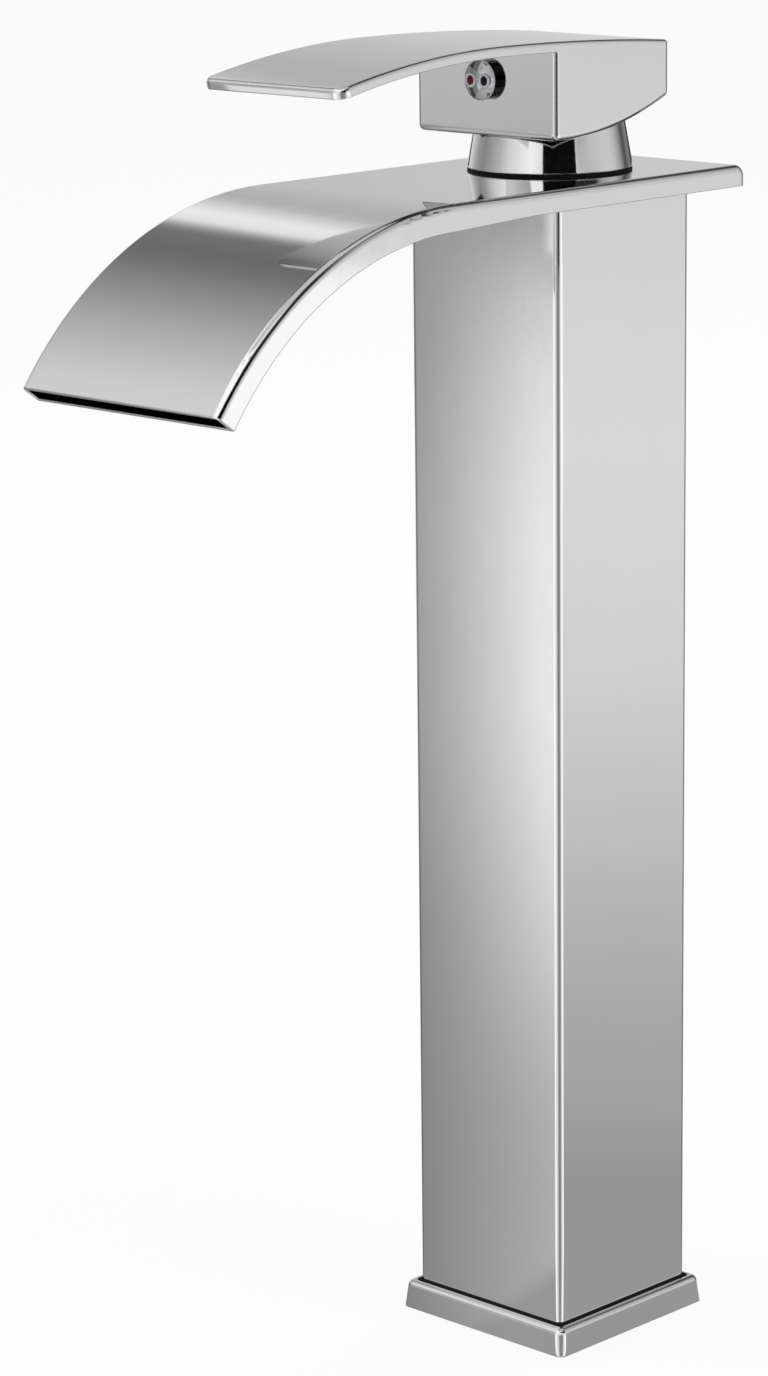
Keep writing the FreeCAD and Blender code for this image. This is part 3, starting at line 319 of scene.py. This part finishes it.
def coat(nodes, material):
    """Gives the material to CAD nodes or to pieces, in their first slot."""
    for item in nodes:
        mesh = (NODES[item] if isinstance(item, str) else item).data
        if mesh.materials:
            mesh.materials[0] = material
        else:
            mesh.materials.append(material)


# ---------------------------------------------------------------- mesh helpers
def finish_mesh(name, shape, body, smooth=True):
    """Turns a bmesh into a piece of the mixer that rides on a body."""
    bmesh.ops.recalc_face_normals(shape, faces=shape.faces)
    mesh = bpy.data.meshes.new(name)
    shape.to_mesh(mesh)
    shape.free()
    for face in mesh.polygons:
        face.use_smooth = smooth
    piece = bpy.data.objects.new(name, mesh)
    bpy.context.scene.collection.objects.link(piece)
    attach(piece, body)
    return piece


def turned(name, outline, origin, axis, steps, body):
    """A piece turned about an axis. The outline's points are (radius, height), and it closes
    on the axis at both ends, or in itself."""
    shape = bmesh.new()
    rings = []
    frame = axis.to_track_quat("Z", "Y").to_matrix()
    for radius, height in outline:
        if radius < 1e-9:
            rings.append([shape.verts.new(origin + frame @ Vector((0, 0, height)))])
            continue
        rings.append([
            shape.verts.new(origin + frame @ Vector((
                radius * math.cos(2 * math.pi * k / steps),
                radius * math.sin(2 * math.pi * k / steps), height)))
            for k in range(steps)])
    pairs = list(zip(rings, rings[1:]))
    if len(rings[0]) > 1:
        pairs.append((rings[-1], rings[0]))
    for low, high in pairs:
        for k in range(steps):
            n = (k + 1) % steps
            corners = [low[k % len(low)], low[n % len(low)],
                       high[n % len(high)], high[k % len(high)]]
            unique = list(dict.fromkeys(corners))
            if len(unique) > 2:
                shape.faces.new(unique)
    return finish_mesh(name, shape, body)


def arc(centre, radius, start, end, steps):
    """Points of an arc in (radius, height), from one angle to another, in degrees."""
    return [(centre[0] + radius * math.cos(math.radians(start + (end - start) * k / steps)),
             centre[1] + radius * math.sin(math.radians(start + (end - start) * k / steps)))
            for k in range(steps + 1)]


def wire_section(radius, height, wire):
    """The round section of a ring, where wire is the section's radius. It closes in itself, so
    its last point stops one step short of its first."""
    return arc((radius, height), wire, 0, 345, 15)


# The section of the black bead that paints the shadow at the column's foot: (out from the column's
# face, up from the base), as shares of its width. Its back and its foot are sunk into the column
# and the base.
SHADOW_BEAD_SECTION = ((-0.3, -0.3), (1, -0.3), (1, 0.35), (0.6, 0.8), (-0.3, 1))


# ---------------------------------------------------------------- operators
class MIXER_OT_plating(bpy.types.Operator):
    """Plates the column, base, spout, bonnet and handle"""
    bl_idname = "mixer.plating"
    bl_label = "Plate the outside"

    def execute(self, context):
        look = context.scene.mixer_finish
        coat(CHROME_NODES, polished_metal("polished_chrome_finish", look.chrome,
                                          look.chrome_haze, look.buffed_edge))
        return {"FINISHED"}


class MIXER_OT_inside(bpy.types.Operator):
    """Finishes the brass, tubes, seals and cartridge inside"""
    bl_idname = "mixer.inside"
    bl_label = "Finish the inside"

    def execute(self, context):
        look = context.scene.mixer_finish
        coat(BRASS_NODES, turned_metal("brass_finish", look.brass, 0.24, 0.42))
        coat(TUBE_NODES, turned_metal("tube_finish", look.tube, 0.2, 0.34))
        coat(RUBBER_NODES, soft_rubber("rubber_finish", look.rubber))
        coat(SHELL_NODES, moulded("shell_finish", look.shell))
        coat(PLASTIC_NODES, moulded("inner_finish", look.plastic, 0.4, 0.56))
        coat(CERAMIC_NODES, lapped_ceramic("ceramic_finish", look.ceramic))
        coat(STEEL_NODES, turned_metal("steel_finish", look.steel, 0.18, 0.3))
        return {"FINISHED"}


class MIXER_OT_foot_shadow_bead(bpy.types.Operator):
    """Lays a black bead round the column's foot, on the base, as painted shadow at the joint of the
    column and the base
    """
    bl_idname = "mixer.foot_bead"
    bl_label = "Lay the foot bead"

    def execute(self, context):
        width = context.scene.mixer_finish.foot_bead
        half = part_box("column")[1].x
        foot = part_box("base_flange")[1].z
        outline = [(half + width * out, width * up) for out, up in SHADOW_BEAD_SECTION]
        shape = bmesh.new()
        rings = [[shape.verts.new((sx * out, sy * out, foot + up)) for out, up in outline]
                 for sx, sy in ((1, 1), (-1, 1), (-1, -1), (1, -1))]
        for here, there in zip(rings, rings[1:] + rings[:1]):
            for k in range(len(outline)):
                n = (k + 1) % len(outline)
                shape.faces.new((here[k], there[k], there[n], here[n]))
        # the bead is painted shadow: black rubber where the column's foot meets the base in shade
        bead = finish_mesh("foot_bead", shape, "faucet_body", smooth=False)
        coat([bead], soft_rubber("foot_shadow_finish", context.scene.mixer_finish.rubber))
        return {"FINISHED"}


class MIXER_OT_index_plug(bpy.types.Operator):
    """Builds a pale ring as a painted highlight round the index plug's face, paints shade on the
    plug's side, and builds its enamel marks and their pale rims
    """
    bl_idname = "mixer.index_plug"
    bl_label = "Build the index plug"

    def execute(self, context):
        look = context.scene.mixer_finish
        size = context.scene.mixer_plug
        low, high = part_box("index_plug")
        centre = (low + high) / 2
        radius = (high.x - low.x) / 2
        edge = low.y + size.face_sag
        # painted shade: the plug's side is black for the shadow round it
        coat(["index_plug"], plug_with_painted_side_shade("plug_painted_shade_finish", look.plug_chrome, look.plug_side_shade,
                                           look.chrome_haze, edge))
        front = Vector((0, -1, 0))
        # a pale ring along the face's edge, as a painted highlight
        wire = size.face_highlight_rim
        edge_highlight = turned("plug_rim", wire_section(radius - wire * 0.5, 0, wire),
                     Vector((centre.x, edge, centre.z)), front, size.rings,
                     "lever")
        coat([edge_highlight], moulded("plug_rim_finish", look.pale_rims_and_highlight, 0.2, 0.3))
        rim = moulded("rim_finish", look.pale_rims_and_highlight)
        crown, wire = size.enamel_crown, size.rim_wire
        for word, tone, slot in (("hot", look.hot, "hot_red"), ("cold", look.cold, "cold_blue")):
            low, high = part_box(word + "_dot")
            centre = Vector(((low.x + high.x) / 2, high.y, (low.z + high.z) / 2))
            radius = (high.x - low.x) / 2
            depth = high.y - low.y
            # the crowned face is part of a ball that is much larger than the mark
            ball = (radius * radius + crown * crown) / (2 * crown)
            reach = math.degrees(math.asin(radius / ball))
            face = arc((0, depth - ball), ball, 90 - reach, 90, 8)
            mark = turned(word + "_enamel", [(0, 0), (radius, 0), (radius, depth - crown),
                                             *face[:-1], (0, depth)],
                          centre, front, size.rings, "lever")
            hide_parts(word + "_dot")
            coat([mark], enamel(word + "_enamel_finish", tone))
            ring = turned(word + "_mark_rim",
                          wire_section(radius + wire * 0.3, depth - crown * 0.5, wire),
                          centre, front, size.rings, "lever")
            coat([ring], rim)
        return {"FINISHED"}


# ---------------------------------------------------------------- stage
def stage_piece(name, verts, faces, material, camera=False):
    """A thing of the stage that, unless asked, only shows as a reflection."""
    mesh = bpy.data.meshes.new(name)
    mesh.from_pydata(verts, [], faces)
    mesh.materials.append(material)
    thing = bpy.data.objects.new(name, mesh)
    bpy.context.scene.collection.objects.link(thing)
    if not camera:
        thing.visible_camera = False
        thing.visible_diffuse = False
        thing.visible_shadow = False
        thing.visible_volume_scatter = False


def showing_rays(tree):
    """1 for the rays that show a thing: the camera's, and those that a mirror or a clear
    body passes on."""
    path = tree.nodes.new("ShaderNodeLightPath")
    showing = path.outputs["Is Camera Ray"]
    for word in ("Is Glossy Ray", "Is Transmission Ray"):
        either = tree.nodes.new("ShaderNodeMath")
        either.operation = "MAXIMUM"
        tree.links.new(showing, either.inputs[0])
        tree.links.new(path.outputs[word], either.inputs[1])
        showing = either.outputs[0]
    return showing


class Glow(Recipe):
    """A material that shines by itself, with a tone set by where a point lies."""

    def __init__(self, name):
        super().__init__(name)
        self.tree.nodes.remove(self.shader)
        self.out = self.tree.nodes["Material Output"]
        self.lamp = self.add("ShaderNodeEmission")
        self.link(self.lamp.outputs[0], self.out.inputs["Surface"])
        split = self.add("ShaderNodeSeparateXYZ")
        self.link(self.place, split.inputs[0])
        self.x, self.y, self.z = split.outputs

    def math(self, kind, *values):
        node = self.add("ShaderNodeMath", operation=kind)
        for socket, value in zip(node.inputs, values):
            if isinstance(value, (int, float)):
                socket.default_value = value
            else:
                self.link(value, socket)
        return node.outputs[0]

    def distance(self):
        """The distance from the upright axis."""
        return self.math("SQRT", self.math("ADD", self.math("MULTIPLY", self.x, self.x),
                                           self.math("MULTIPLY", self.y, self.y)))

    def angle(self, across, along):
        """The angle that two lengths make, in degrees."""
        return self.math("MULTIPLY", self.math("ARCTAN2", across, along), 180 / math.pi)

    def azimuth(self):
        """The angle round the upright axis: 0 in front and 90 to the right."""
        return self.angle(self.x, self.math("MULTIPLY", self.y, -1))

    def step(self, value, low, high, first=0.0, last=1.0):
        """A smooth step from first to last as the value goes from low to high."""
        return self.span(value, low, high, first, last, "SMOOTHSTEP")

    def ramp(self, value, low, high, stops, ceiling):
        """Tones along a value, as (place, tone) pairs. A tone is stored as its share of the
        ceiling, so that it stays within a colour's 0 to 1."""
        node = self.add("ShaderNodeValToRGB")
        elements = node.color_ramp.elements
        node.color_ramp.interpolation = "LINEAR"
        while len(elements) > 1:
            elements.remove(elements[-1])
        for number, (place, tone) in enumerate(stops):
            spot = (place - low) / (high - low)
            element = elements[0] if number == 0 else elements.new(spot)
            element.position = spot
            element.color = (tone / ceiling, tone / ceiling, tone / ceiling, 1)
        self.link(self.span(value, low, high), node.inputs["Fac"])
        return self.math("MULTIPLY", node.outputs["Color"], ceiling)

    def window(self, value, low, high, soft):
        """1 between low and high and 0 outside, with soft edges."""
        return self.math("MULTIPLY", self.step(value, low - soft, low + soft),
                         self.step(value, high - soft, high + soft, 1.0, 0.0))

    def mix(self, share_of_second, first, second):
        """first * (1 - share) + second * share"""
        rise = self.math("SUBTRACT", second, first)
        return self.math("ADD", first, self.math("MULTIPLY", rise, share_of_second))


# A tone is a brightness, and a perfect mirror shows a tone of 1 as white. Angles are in
# degrees: azimuth 0 is in front of the spout and 90 to its right, and rise is above level.
# A ceiling is above every tone or factor of its ramps.
TENT_CEILING = 1.5
TABLE_CEILING = 1.5
FACTOR_CEILING = 2.0

# Tones of the tent, as seen from the mixer: (azimuth, tone).
LOW_TIER = (
    (-180, 0.20), (-168, 0.28), (-158, 0.5), (-148, 0.7), (-140, 0.7), (-134.5, 0.62),
    (-131, 0.57), (-127, 0.62), (-122, 0.85), (-113, 1.0), (-98, 0.75), (-82, 0.46),
    (-66, 0.35), (-51, 0.48), (-35, 0.65), (-19, 0.95), (-2, 1.15), (14, 1.35), (30, 1.15),
    (50, 1.1), (78, 1.45), (86, 0.9), (95, 0.75), (111, 0.82), (127, 0.88), (143, 0.86),
    (159, 0.5), (172, 0.13))
HIGH_TIER = (
    (-180, 0.06), (-158, 0.08), (-148, 0.5), (-140, 0.6), (-130, 0.6), (-127, 1.0),
    (-125, 1.18), (-122.5, 1.1), (-120.5, 0.5), (-119, 0.25), (-112, 0.21), (-106, 0.26),
    (-100, 0.35), (-92, 0.46), (-84, 0.6), (-76, 0.73), (-69, 0.88), (-60, 1.0), (-40, 1.2),
    (-10, 1.5), (44, 1.5), (58, 1.2), (66, 0.04), (112, 0.04), (122, 0.5), (140, 0.7),
    (160, 0.6), (170, 0.12))

# Where one tone of the tent turns into the next: (first rise, last rise).
TIER_RISE = (17, 25)
RIGHT_TIER_RISE = (13, 16)
RIGHT_TIER = (80, 114, 2)  # (first azimuth, last azimuth, softness)
RING_RISE = (47, 54)
RING_TURN = (-0.9, 0.9, 1.5, 0.04)  # (first y, last y, tone in front, tone behind)
TOP_RISE = (58, 64)
TOP_TONE = 0.8


def tent_material():
    """Two tiers of tones round the mixer, and over them a ring and a plain top."""
    glow = Glow("tent_finish")
    turn = glow.azimuth()
    rise = glow.angle(glow.z, glow.distance())
    low = glow.ramp(turn, -180, 180, LOW_TIER, TENT_CEILING)
    high = glow.ramp(turn, -180, 180, HIGH_TIER, TENT_CEILING)
    # the high tier comes lower on the right, where it draws the black line along the bend
    share_high = glow.mix(glow.window(turn, *RIGHT_TIER), glow.step(rise, *TIER_RISE),
                          glow.step(rise, *RIGHT_TIER_RISE))
    tone = glow.mix(share_high, low, high)
    ring = glow.mix(glow.step(rise, *RING_RISE), tone, glow.step(glow.y, *RING_TURN))
    top = glow.mix(glow.step(rise, *TOP_RISE), ring, TOP_TONE)
    glow.link(top, glow.lamp.inputs["Strength"])
    return glow.material


# Tones of the table as the plating shows it: (distance from the axis in metres, tone).
TABLE_REACH = 6.0  # the last of these distances
TABLE_TONES = (
    (0.0, 0.46), (0.06, 0.45), (0.12, 0.44), (0.16, 0.5), (0.20, 0.55), (0.28, 0.61),
    (0.36, 0.69), (0.45, 0.79), (0.55, 0.87), (0.67, 0.97), (0.83, 1.03), (1.2, 1.1),
    (2.1, 1.03), (3.2, 1.0), (6.0, 0.9))

# The same in front of the column's left face, where the table darkens farther out.
FRONT_TONES = (
    (0.0, 0.44), (0.06, 0.43), (0.12, 0.43), (0.18, 0.45), (0.25, 0.52), (0.34, 0.62),
    (0.43, 0.7), (0.53, 0.77), (0.65, 0.83), (0.96, 0.83), (1.17, 0.79), (1.42, 0.73),
    (1.73, 0.63), (2.14, 0.46), (2.8, 0.71), (3.3, 0.75), (6.0, 0.8))

# How the front face's tones rise from its left to its right edge: (place across, factor).
SLOPE_TONES = (
    (-0.001, 0.48), (0.0039, 0.63), (0.0109, 0.82), (0.018, 1.06), (0.025, 1.31), (0.032, 1.6))
SLOPE_ENDS = (-0.001, 0.033)
GENTLE_SLOPE = (-0.001, 0.032, 0.72, 1.5)  # (first place, last place, factors there)
ACROSS = (0.719, 0.695)  # the direction across, as shares of x and of -y

# The tones that the rounded near edges show, turning about the near corner: (azimuth, tone).
WEDGE_ENDS = (-40, 130)
WEDGE_TONES = (
    (-40, 1.75), (-18, 1.6), (-4, 1.25), (12, 1.05), (24, 0.7), (34, 0.34), (52, 0.26),
    (70, 0.34), (80, 0.75), (92, 1.15), (108, 1.6), (130, 1.75))

# Sectors of the table: (first azimuth, last azimuth, softness).
FRONT_SECTOR = (-75, -12, 6)
LEFT_SECTOR = (-121, -62, 4)
LEFT_MIDDLE = (-102, -80, 6)
BACK_MIDDLE = (-10, 10, 6)  # from straight behind
FAR_LEFT_SECTOR = (-146, -126, 2)
CARD_SECTOR = (118, 134.8, 0.4)
NEAR_WEDGE = (-33, 125, 4)  # this and the next about the near corner
FAR_WEDGE = (-4, 104, 8)

# Edges of the back sector: (first azimuth, last azimuth).
BACK_RIGHT_EDGE = (148, 156)
BACK_LEFT_EDGE = (-148, -140)

# Bands of the table: (first distance, last distance, softness).
FAR_LEFT_BAND = (0.74, 1.6, 0.04)
CARD_BAND = (1.1, 1.9, 0.1)

# Distances over which one thing turns into another: (first, last).
STEEPER = (0.1, 0.4)  # the gentle slope across into the steep one
SLOPE_FADE = (1.5, 2.4)  # the slope across into none
FOOT_SHADE = (0.03, 0.05)  # nothing into a dark sector
CORNER_STEP = (0.065, 0.08)  # the base's corner into the column's
WEDGE_NARROWS = (2.3, 2.7)  # the near wedge into the far one

MIDDLE_SHARE = 0.45  # how dark the middle of a dark sector is, from none to all
DARK_TONE = 0.02
CARD_TONE = 1.55


def table_tones(glow):
    """The tones that the plating shows of the table, by distance and by azimuth."""
    away, turn = glow.distance(), glow.azimuth()
    plain = glow.ramp(away, 0, TABLE_REACH, TABLE_TONES, TABLE_CEILING)
    front = glow.ramp(away, 0, TABLE_REACH, FRONT_TONES, TABLE_CEILING)
    # from the left to the right edge of the column's front face, as seen in it
    across = glow.math("DIVIDE",
                       glow.math("SUBTRACT", glow.math("MULTIPLY", glow.x, ACROSS[0]),
                                 glow.math("MULTIPLY", glow.y, ACROSS[1])),
                       glow.math("ADD", 1.0, away))
    gentle = glow.span(across, *GENTLE_SLOPE)
    steep = glow.ramp(across, *SLOPE_ENDS, SLOPE_TONES, FACTOR_CEILING)
    slope = glow.mix(glow.step(away, *STEEPER), gentle, steep)
    fade = glow.step(away, *SLOPE_FADE, 1.0, 0.0)
    front = glow.math("MULTIPLY", front, glow.mix(fade, 1.0, slope))
    tone = glow.mix(glow.window(turn, *FRONT_SECTOR), plain, front)
    # dark sectors that draw a line along the outer edges, paler in their middles
    foot = glow.step(away, *FOOT_SHADE)
    left = glow.math("MULTIPLY", glow.window(turn, *LEFT_SECTOR),
                     glow.mix(glow.window(turn, *LEFT_MIDDLE), foot, MIDDLE_SHARE))
    back = glow.math("MAXIMUM", glow.step(turn, *BACK_RIGHT_EDGE),
                     glow.step(turn, *BACK_LEFT_EDGE, 1, 0))
    behind = glow.angle(glow.x, glow.y)
    back = glow.math("MULTIPLY", back,
                     glow.mix(glow.window(behind, *BACK_MIDDLE), foot, MIDDLE_SHARE))
    far_left = glow.math("MULTIPLY", glow.window(turn, *FAR_LEFT_SECTOR),
                         glow.window(away, *FAR_LEFT_BAND))
    dark = glow.math("MAXIMUM", glow.math("MAXIMUM", left, back), far_left)
    tone = glow.mix(dark, tone, DARK_TONE)
    # a white patch beside the bend
    card = glow.math("MULTIPLY", glow.window(turn, *CARD_SECTOR), glow.window(away, *CARD_BAND))
    tone = glow.mix(card, tone, CARD_TONE)
    # two white sectors and a grey one between them, as the rounded near edges see the table
    corner = glow.step(away, *CORNER_STEP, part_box("base_flange")[1].x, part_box("column")[1].x)
    ahead = glow.math("SUBTRACT", glow.x, corner)
    aside = glow.math("MULTIPLY", glow.math("ADD", glow.y, corner), -1)
    sweep = glow.angle(ahead, aside)
    wedge = glow.ramp(sweep, *WEDGE_ENDS, WEDGE_TONES, FACTOR_CEILING)
    inside = glow.mix(glow.step(away, *WEDGE_NARROWS), glow.window(sweep, *NEAR_WEDGE),
                      glow.window(sweep, *FAR_WEDGE))
    return glow.mix(inside, tone, wedge)


TABLE_GLOW = 0.9  # the part of the seen table that glows, the rest being shadowed paper


def table_material():
    """White to the camera, graded in reflections, and always with the mixer's shadow."""
    glow = Glow("table_finish")
    path = glow.add("ShaderNodeLightPath")
    lit = glow.mix(path.outputs["Is Glossy Ray"], 1.0, table_tones(glow))
    glow.link(lit, glow.lamp.inputs["Strength"])
    paper = glow.add("ShaderNodeBsdfDiffuse")
    grain = glow.add("ShaderNodeValToRGB")
    grain.color_ramp.elements[0].color = (0.86, 0.86, 0.86, 1)
    grain.color_ramp.elements[1].color = (0.9, 0.9, 0.9, 1)
    glow.link(glow.noise(30, 3), grain.inputs["Fac"])
    glow.link(grain.outputs["Color"], paper.inputs["Color"])
    blend = glow.add("ShaderNodeMixShader")
    glow.link(glow.math("MULTIPLY", showing_rays(glow.tree), TABLE_GLOW), blend.inputs[0])
    glow.link(paper.outputs[0], blend.inputs[1])
    glow.link(glow.lamp.outputs[0], blend.inputs[2])
    glow.link(blend.outputs[0], glow.out.inputs["Surface"])
    return glow.material


def plain_glow(name, tone):
    """One even tone."""
    glow = Glow(name)
    glow.lamp.inputs["Strength"].default_value = tone
    return glow.material


def curved_card(name, radius, first, last, low, high, material, steps=24):
    """A card bent round the mixer, from one azimuth to another."""
    verts, faces = [], []
    for k in range(steps + 1):
        a = math.radians(first + (last - first) * k / steps)
        for z in (low, high):
            verts.append((radius * math.sin(a), -radius * math.cos(a), z))
    for k in range(steps):
        faces.append((2 * k, 2 * k + 2, 2 * k + 3, 2 * k + 1))
    stage_piece(name, verts, faces, material)


def add_lamp(name, place, width, power):
    """A soft round lamp that points at the column's middle and shows in no reflection."""
    data = bpy.data.lights.new(name, "AREA")
    data.shape = "DISK"
    data.size = width
    data.energy = power
    lamp = bpy.data.objects.new(name, data)
    lamp.location = place
    lamp.rotation_euler = (Vector(LAMP_AIM) - Vector(place)).to_track_quat("-Z", "Y").to_euler()
    lamp.visible_glossy = False
    bpy.context.scene.collection.objects.link(lamp)


TABLE_HALF = 40.0  # half the table's side
TABLE_DROP = 0.02 * MM  # the gap between the base and the table
TENT_RIM = -0.05  # where the tent ends under the table, as a share of its radius
# Flags that the plating shows as black: (name, first azimuth, last azimuth, bottom, top).
FLAGS = (("black_flag", 32, 79, 0.285, 0.62), ("edge_flag", 53, 76, 0.19, 0.285))
FLAG_TONE = 0.004
# A small card under the lever's tip, that its front edge shows: (x, y, z) of its corners.
TIP_CARD = ((-0.111, -0.168, 0.232), (-0.075, -0.168, 0.232), (-0.075, -0.168, 0.258),
            (-0.111, -0.168, 0.258))
TIP_CARD_TONE = 1.12
LAMP_AIM = (0, 0, 0.15)
# Lamps: (name, place, width, share of the set power).
LAMPS = (("lamp_left", (-1.3, -0.9, 1.5), 1.2, 1.0), ("lamp_right", (1.5, 0.3, 1.3), 1.2, 1.0),
         ("lamp_back", (-0.2, 1.5, 1.2), 1.0, 0.7))
# The camera's azimuth, height angle and roll in degrees, what it looks at in millimetres, and
# from how far in metres.
CAMERA_TURN, CAMERA_LIFT, CAMERA_ROLL = 44.084, 13.162, -0.652
CAMERA_AIM = (-37.591, -17.163, 149.263)
CAMERA_DISTANCE = 1.041842
CAMERA_CLIP = (0.02, 100)
SENSOR_WIDTH = 36


class MIXER_OT_stage(bpy.types.Operator):
    """Sets the table, the light tent, the lamps and the camera"""
    bl_idname = "mixer.stage"
    bl_label = "Set the stage"

    def execute(self, context):
        scene = context.scene
        size = scene.mixer_stage
        low = START[0].z - TABLE_DROP
        far = TABLE_HALF
        stage_piece("table", [(-far, -far, low), (far, -far, low), (far, far, low),
                              (-far, far, low)], [(0, 1, 2, 3)], table_material(), camera=True)
        self.tent(size.tent_radius)
        black = plain_glow("flag_finish", FLAG_TONE)
        for name, first, last, bottom, top in FLAGS:
            curved_card(name, size.flag_distance, first, last, bottom, top, black)
        stage_piece("tip_card", TIP_CARD, [(0, 1, 2, 3)],
                    plain_glow("tip_card_finish", TIP_CARD_TONE))
        self.world(scene, size.sky_level)
        for name, place, width, part in LAMPS:
            add_lamp(name, place, width, size.lamp_power * part)
        self.camera(scene, size.lens)
        scene.view_settings.view_transform = "Standard"
        return {"FINISHED"}

    def tent(self, radius):
        """A dome round everything, down to just below the table."""
        shape = bmesh.new()
        bmesh.ops.create_uvsphere(shape, u_segments=96, v_segments=48, radius=radius)
        cut = [v for v in shape.verts if v.co.z < TENT_RIM * radius]
        bmesh.ops.delete(shape, geom=cut, context="VERTS")
        mesh = bpy.data.meshes.new("light_tent")
        shape.to_mesh(mesh)
        shape.free()
        verts = [tuple(v.co) for v in mesh.vertices]
        faces = [tuple(f.vertices) for f in mesh.polygons]
        bpy.data.meshes.remove(mesh)
        stage_piece("light_tent", verts, faces, tent_material())

    def world(self, scene, level):
        """White where it is seen, and an even light everywhere else."""
        world = bpy.data.worlds.new("studio")
        scene.world = world
        world.use_nodes = True
        tree = world.node_tree
        shine = tree.nodes["Background"]
        level_node = tree.nodes.new("ShaderNodeMapRange")
        level_node.inputs["To Min"].default_value = level
        level_node.inputs["To Max"].default_value = 1.0
        tree.links.new(showing_rays(tree), level_node.inputs["Value"])
        tree.links.new(level_node.outputs["Result"], shine.inputs["Strength"])
        shine.inputs["Color"].default_value = (1, 1, 1, 1)

    def camera(self, scene, lens):
        """Sets the camera in front, to the right and a little above."""
        turn, lift, roll = (math.radians(a) for a in (CAMERA_TURN, CAMERA_LIFT, CAMERA_ROLL))
        back = Vector((math.sin(turn) * math.cos(lift), -math.cos(turn) * math.cos(lift),
                       math.sin(lift)))
        right = Vector((math.cos(turn), math.sin(turn), 0))
        up = back.cross(right)
        side = right * math.cos(roll) + up * math.sin(roll)
        top = up * math.cos(roll) - right * math.sin(roll)
        data = bpy.data.cameras.new("camera")
        data.lens = lens
        data.sensor_width = SENSOR_WIDTH
        data.clip_start, data.clip_end = CAMERA_CLIP
        camera = bpy.data.objects.new("camera", data)
        place = Vector(CAMERA_AIM) * MM + back * CAMERA_DISTANCE
        camera.matrix_world = Matrix((
            (side.x, top.x, back.x, place.x), (side.y, top.y, back.y, place.y),
            (side.z, top.z, back.z, place.z), (0, 0, 0, 1)))
        scene.collection.objects.link(camera)
        scene.camera = camera


class MIXER_PT_build(bpy.types.Panel):
    """Lists the steps that dress the mixer"""
    bl_label = "Waterfall Mixer"
    bl_idname = "MIXER_PT_build"
    bl_space_type = "VIEW_3D"
    bl_region_type = "UI"
    bl_category = "Mixer"

    def draw(self, context):
        for group in GROUPS:
            box = self.layout.box()
            settings = getattr(context.scene, group)
            for name in settings.bl_rna.properties.keys():
                if name not in ("rna_type", "name"):
                    box.prop(settings, name)
        for step in STEPS:
            self.layout.operator(step.bl_idname)


GROUPS = {"mixer_finish": MixerFinish, "mixer_plug": MixerPlug, "mixer_stage": MixerStage}
STEPS = (MIXER_OT_plating, MIXER_OT_inside, MIXER_OT_foot_shadow_bead, MIXER_OT_index_plug,
         MIXER_OT_stage)
CLASSES = (*GROUPS.values(), *STEPS, MIXER_PT_build)


def register():
    for cls in CLASSES:
        bpy.utils.register_class(cls)
    for name, group in GROUPS.items():
        setattr(bpy.types.Scene, name, PointerProperty(type=group))


def unregister():
    for name in GROUPS:
        delattr(bpy.types.Scene, name)
    for cls in reversed(CLASSES):
        bpy.utils.unregister_class(cls)


def main():
    register()
    bpy.ops.mixer.plating()
    bpy.ops.mixer.inside()
    bpy.ops.mixer.foot_bead()
    bpy.ops.mixer.index_plug()
    bpy.ops.mixer.stage()


if __name__ == "__main__":
    main()
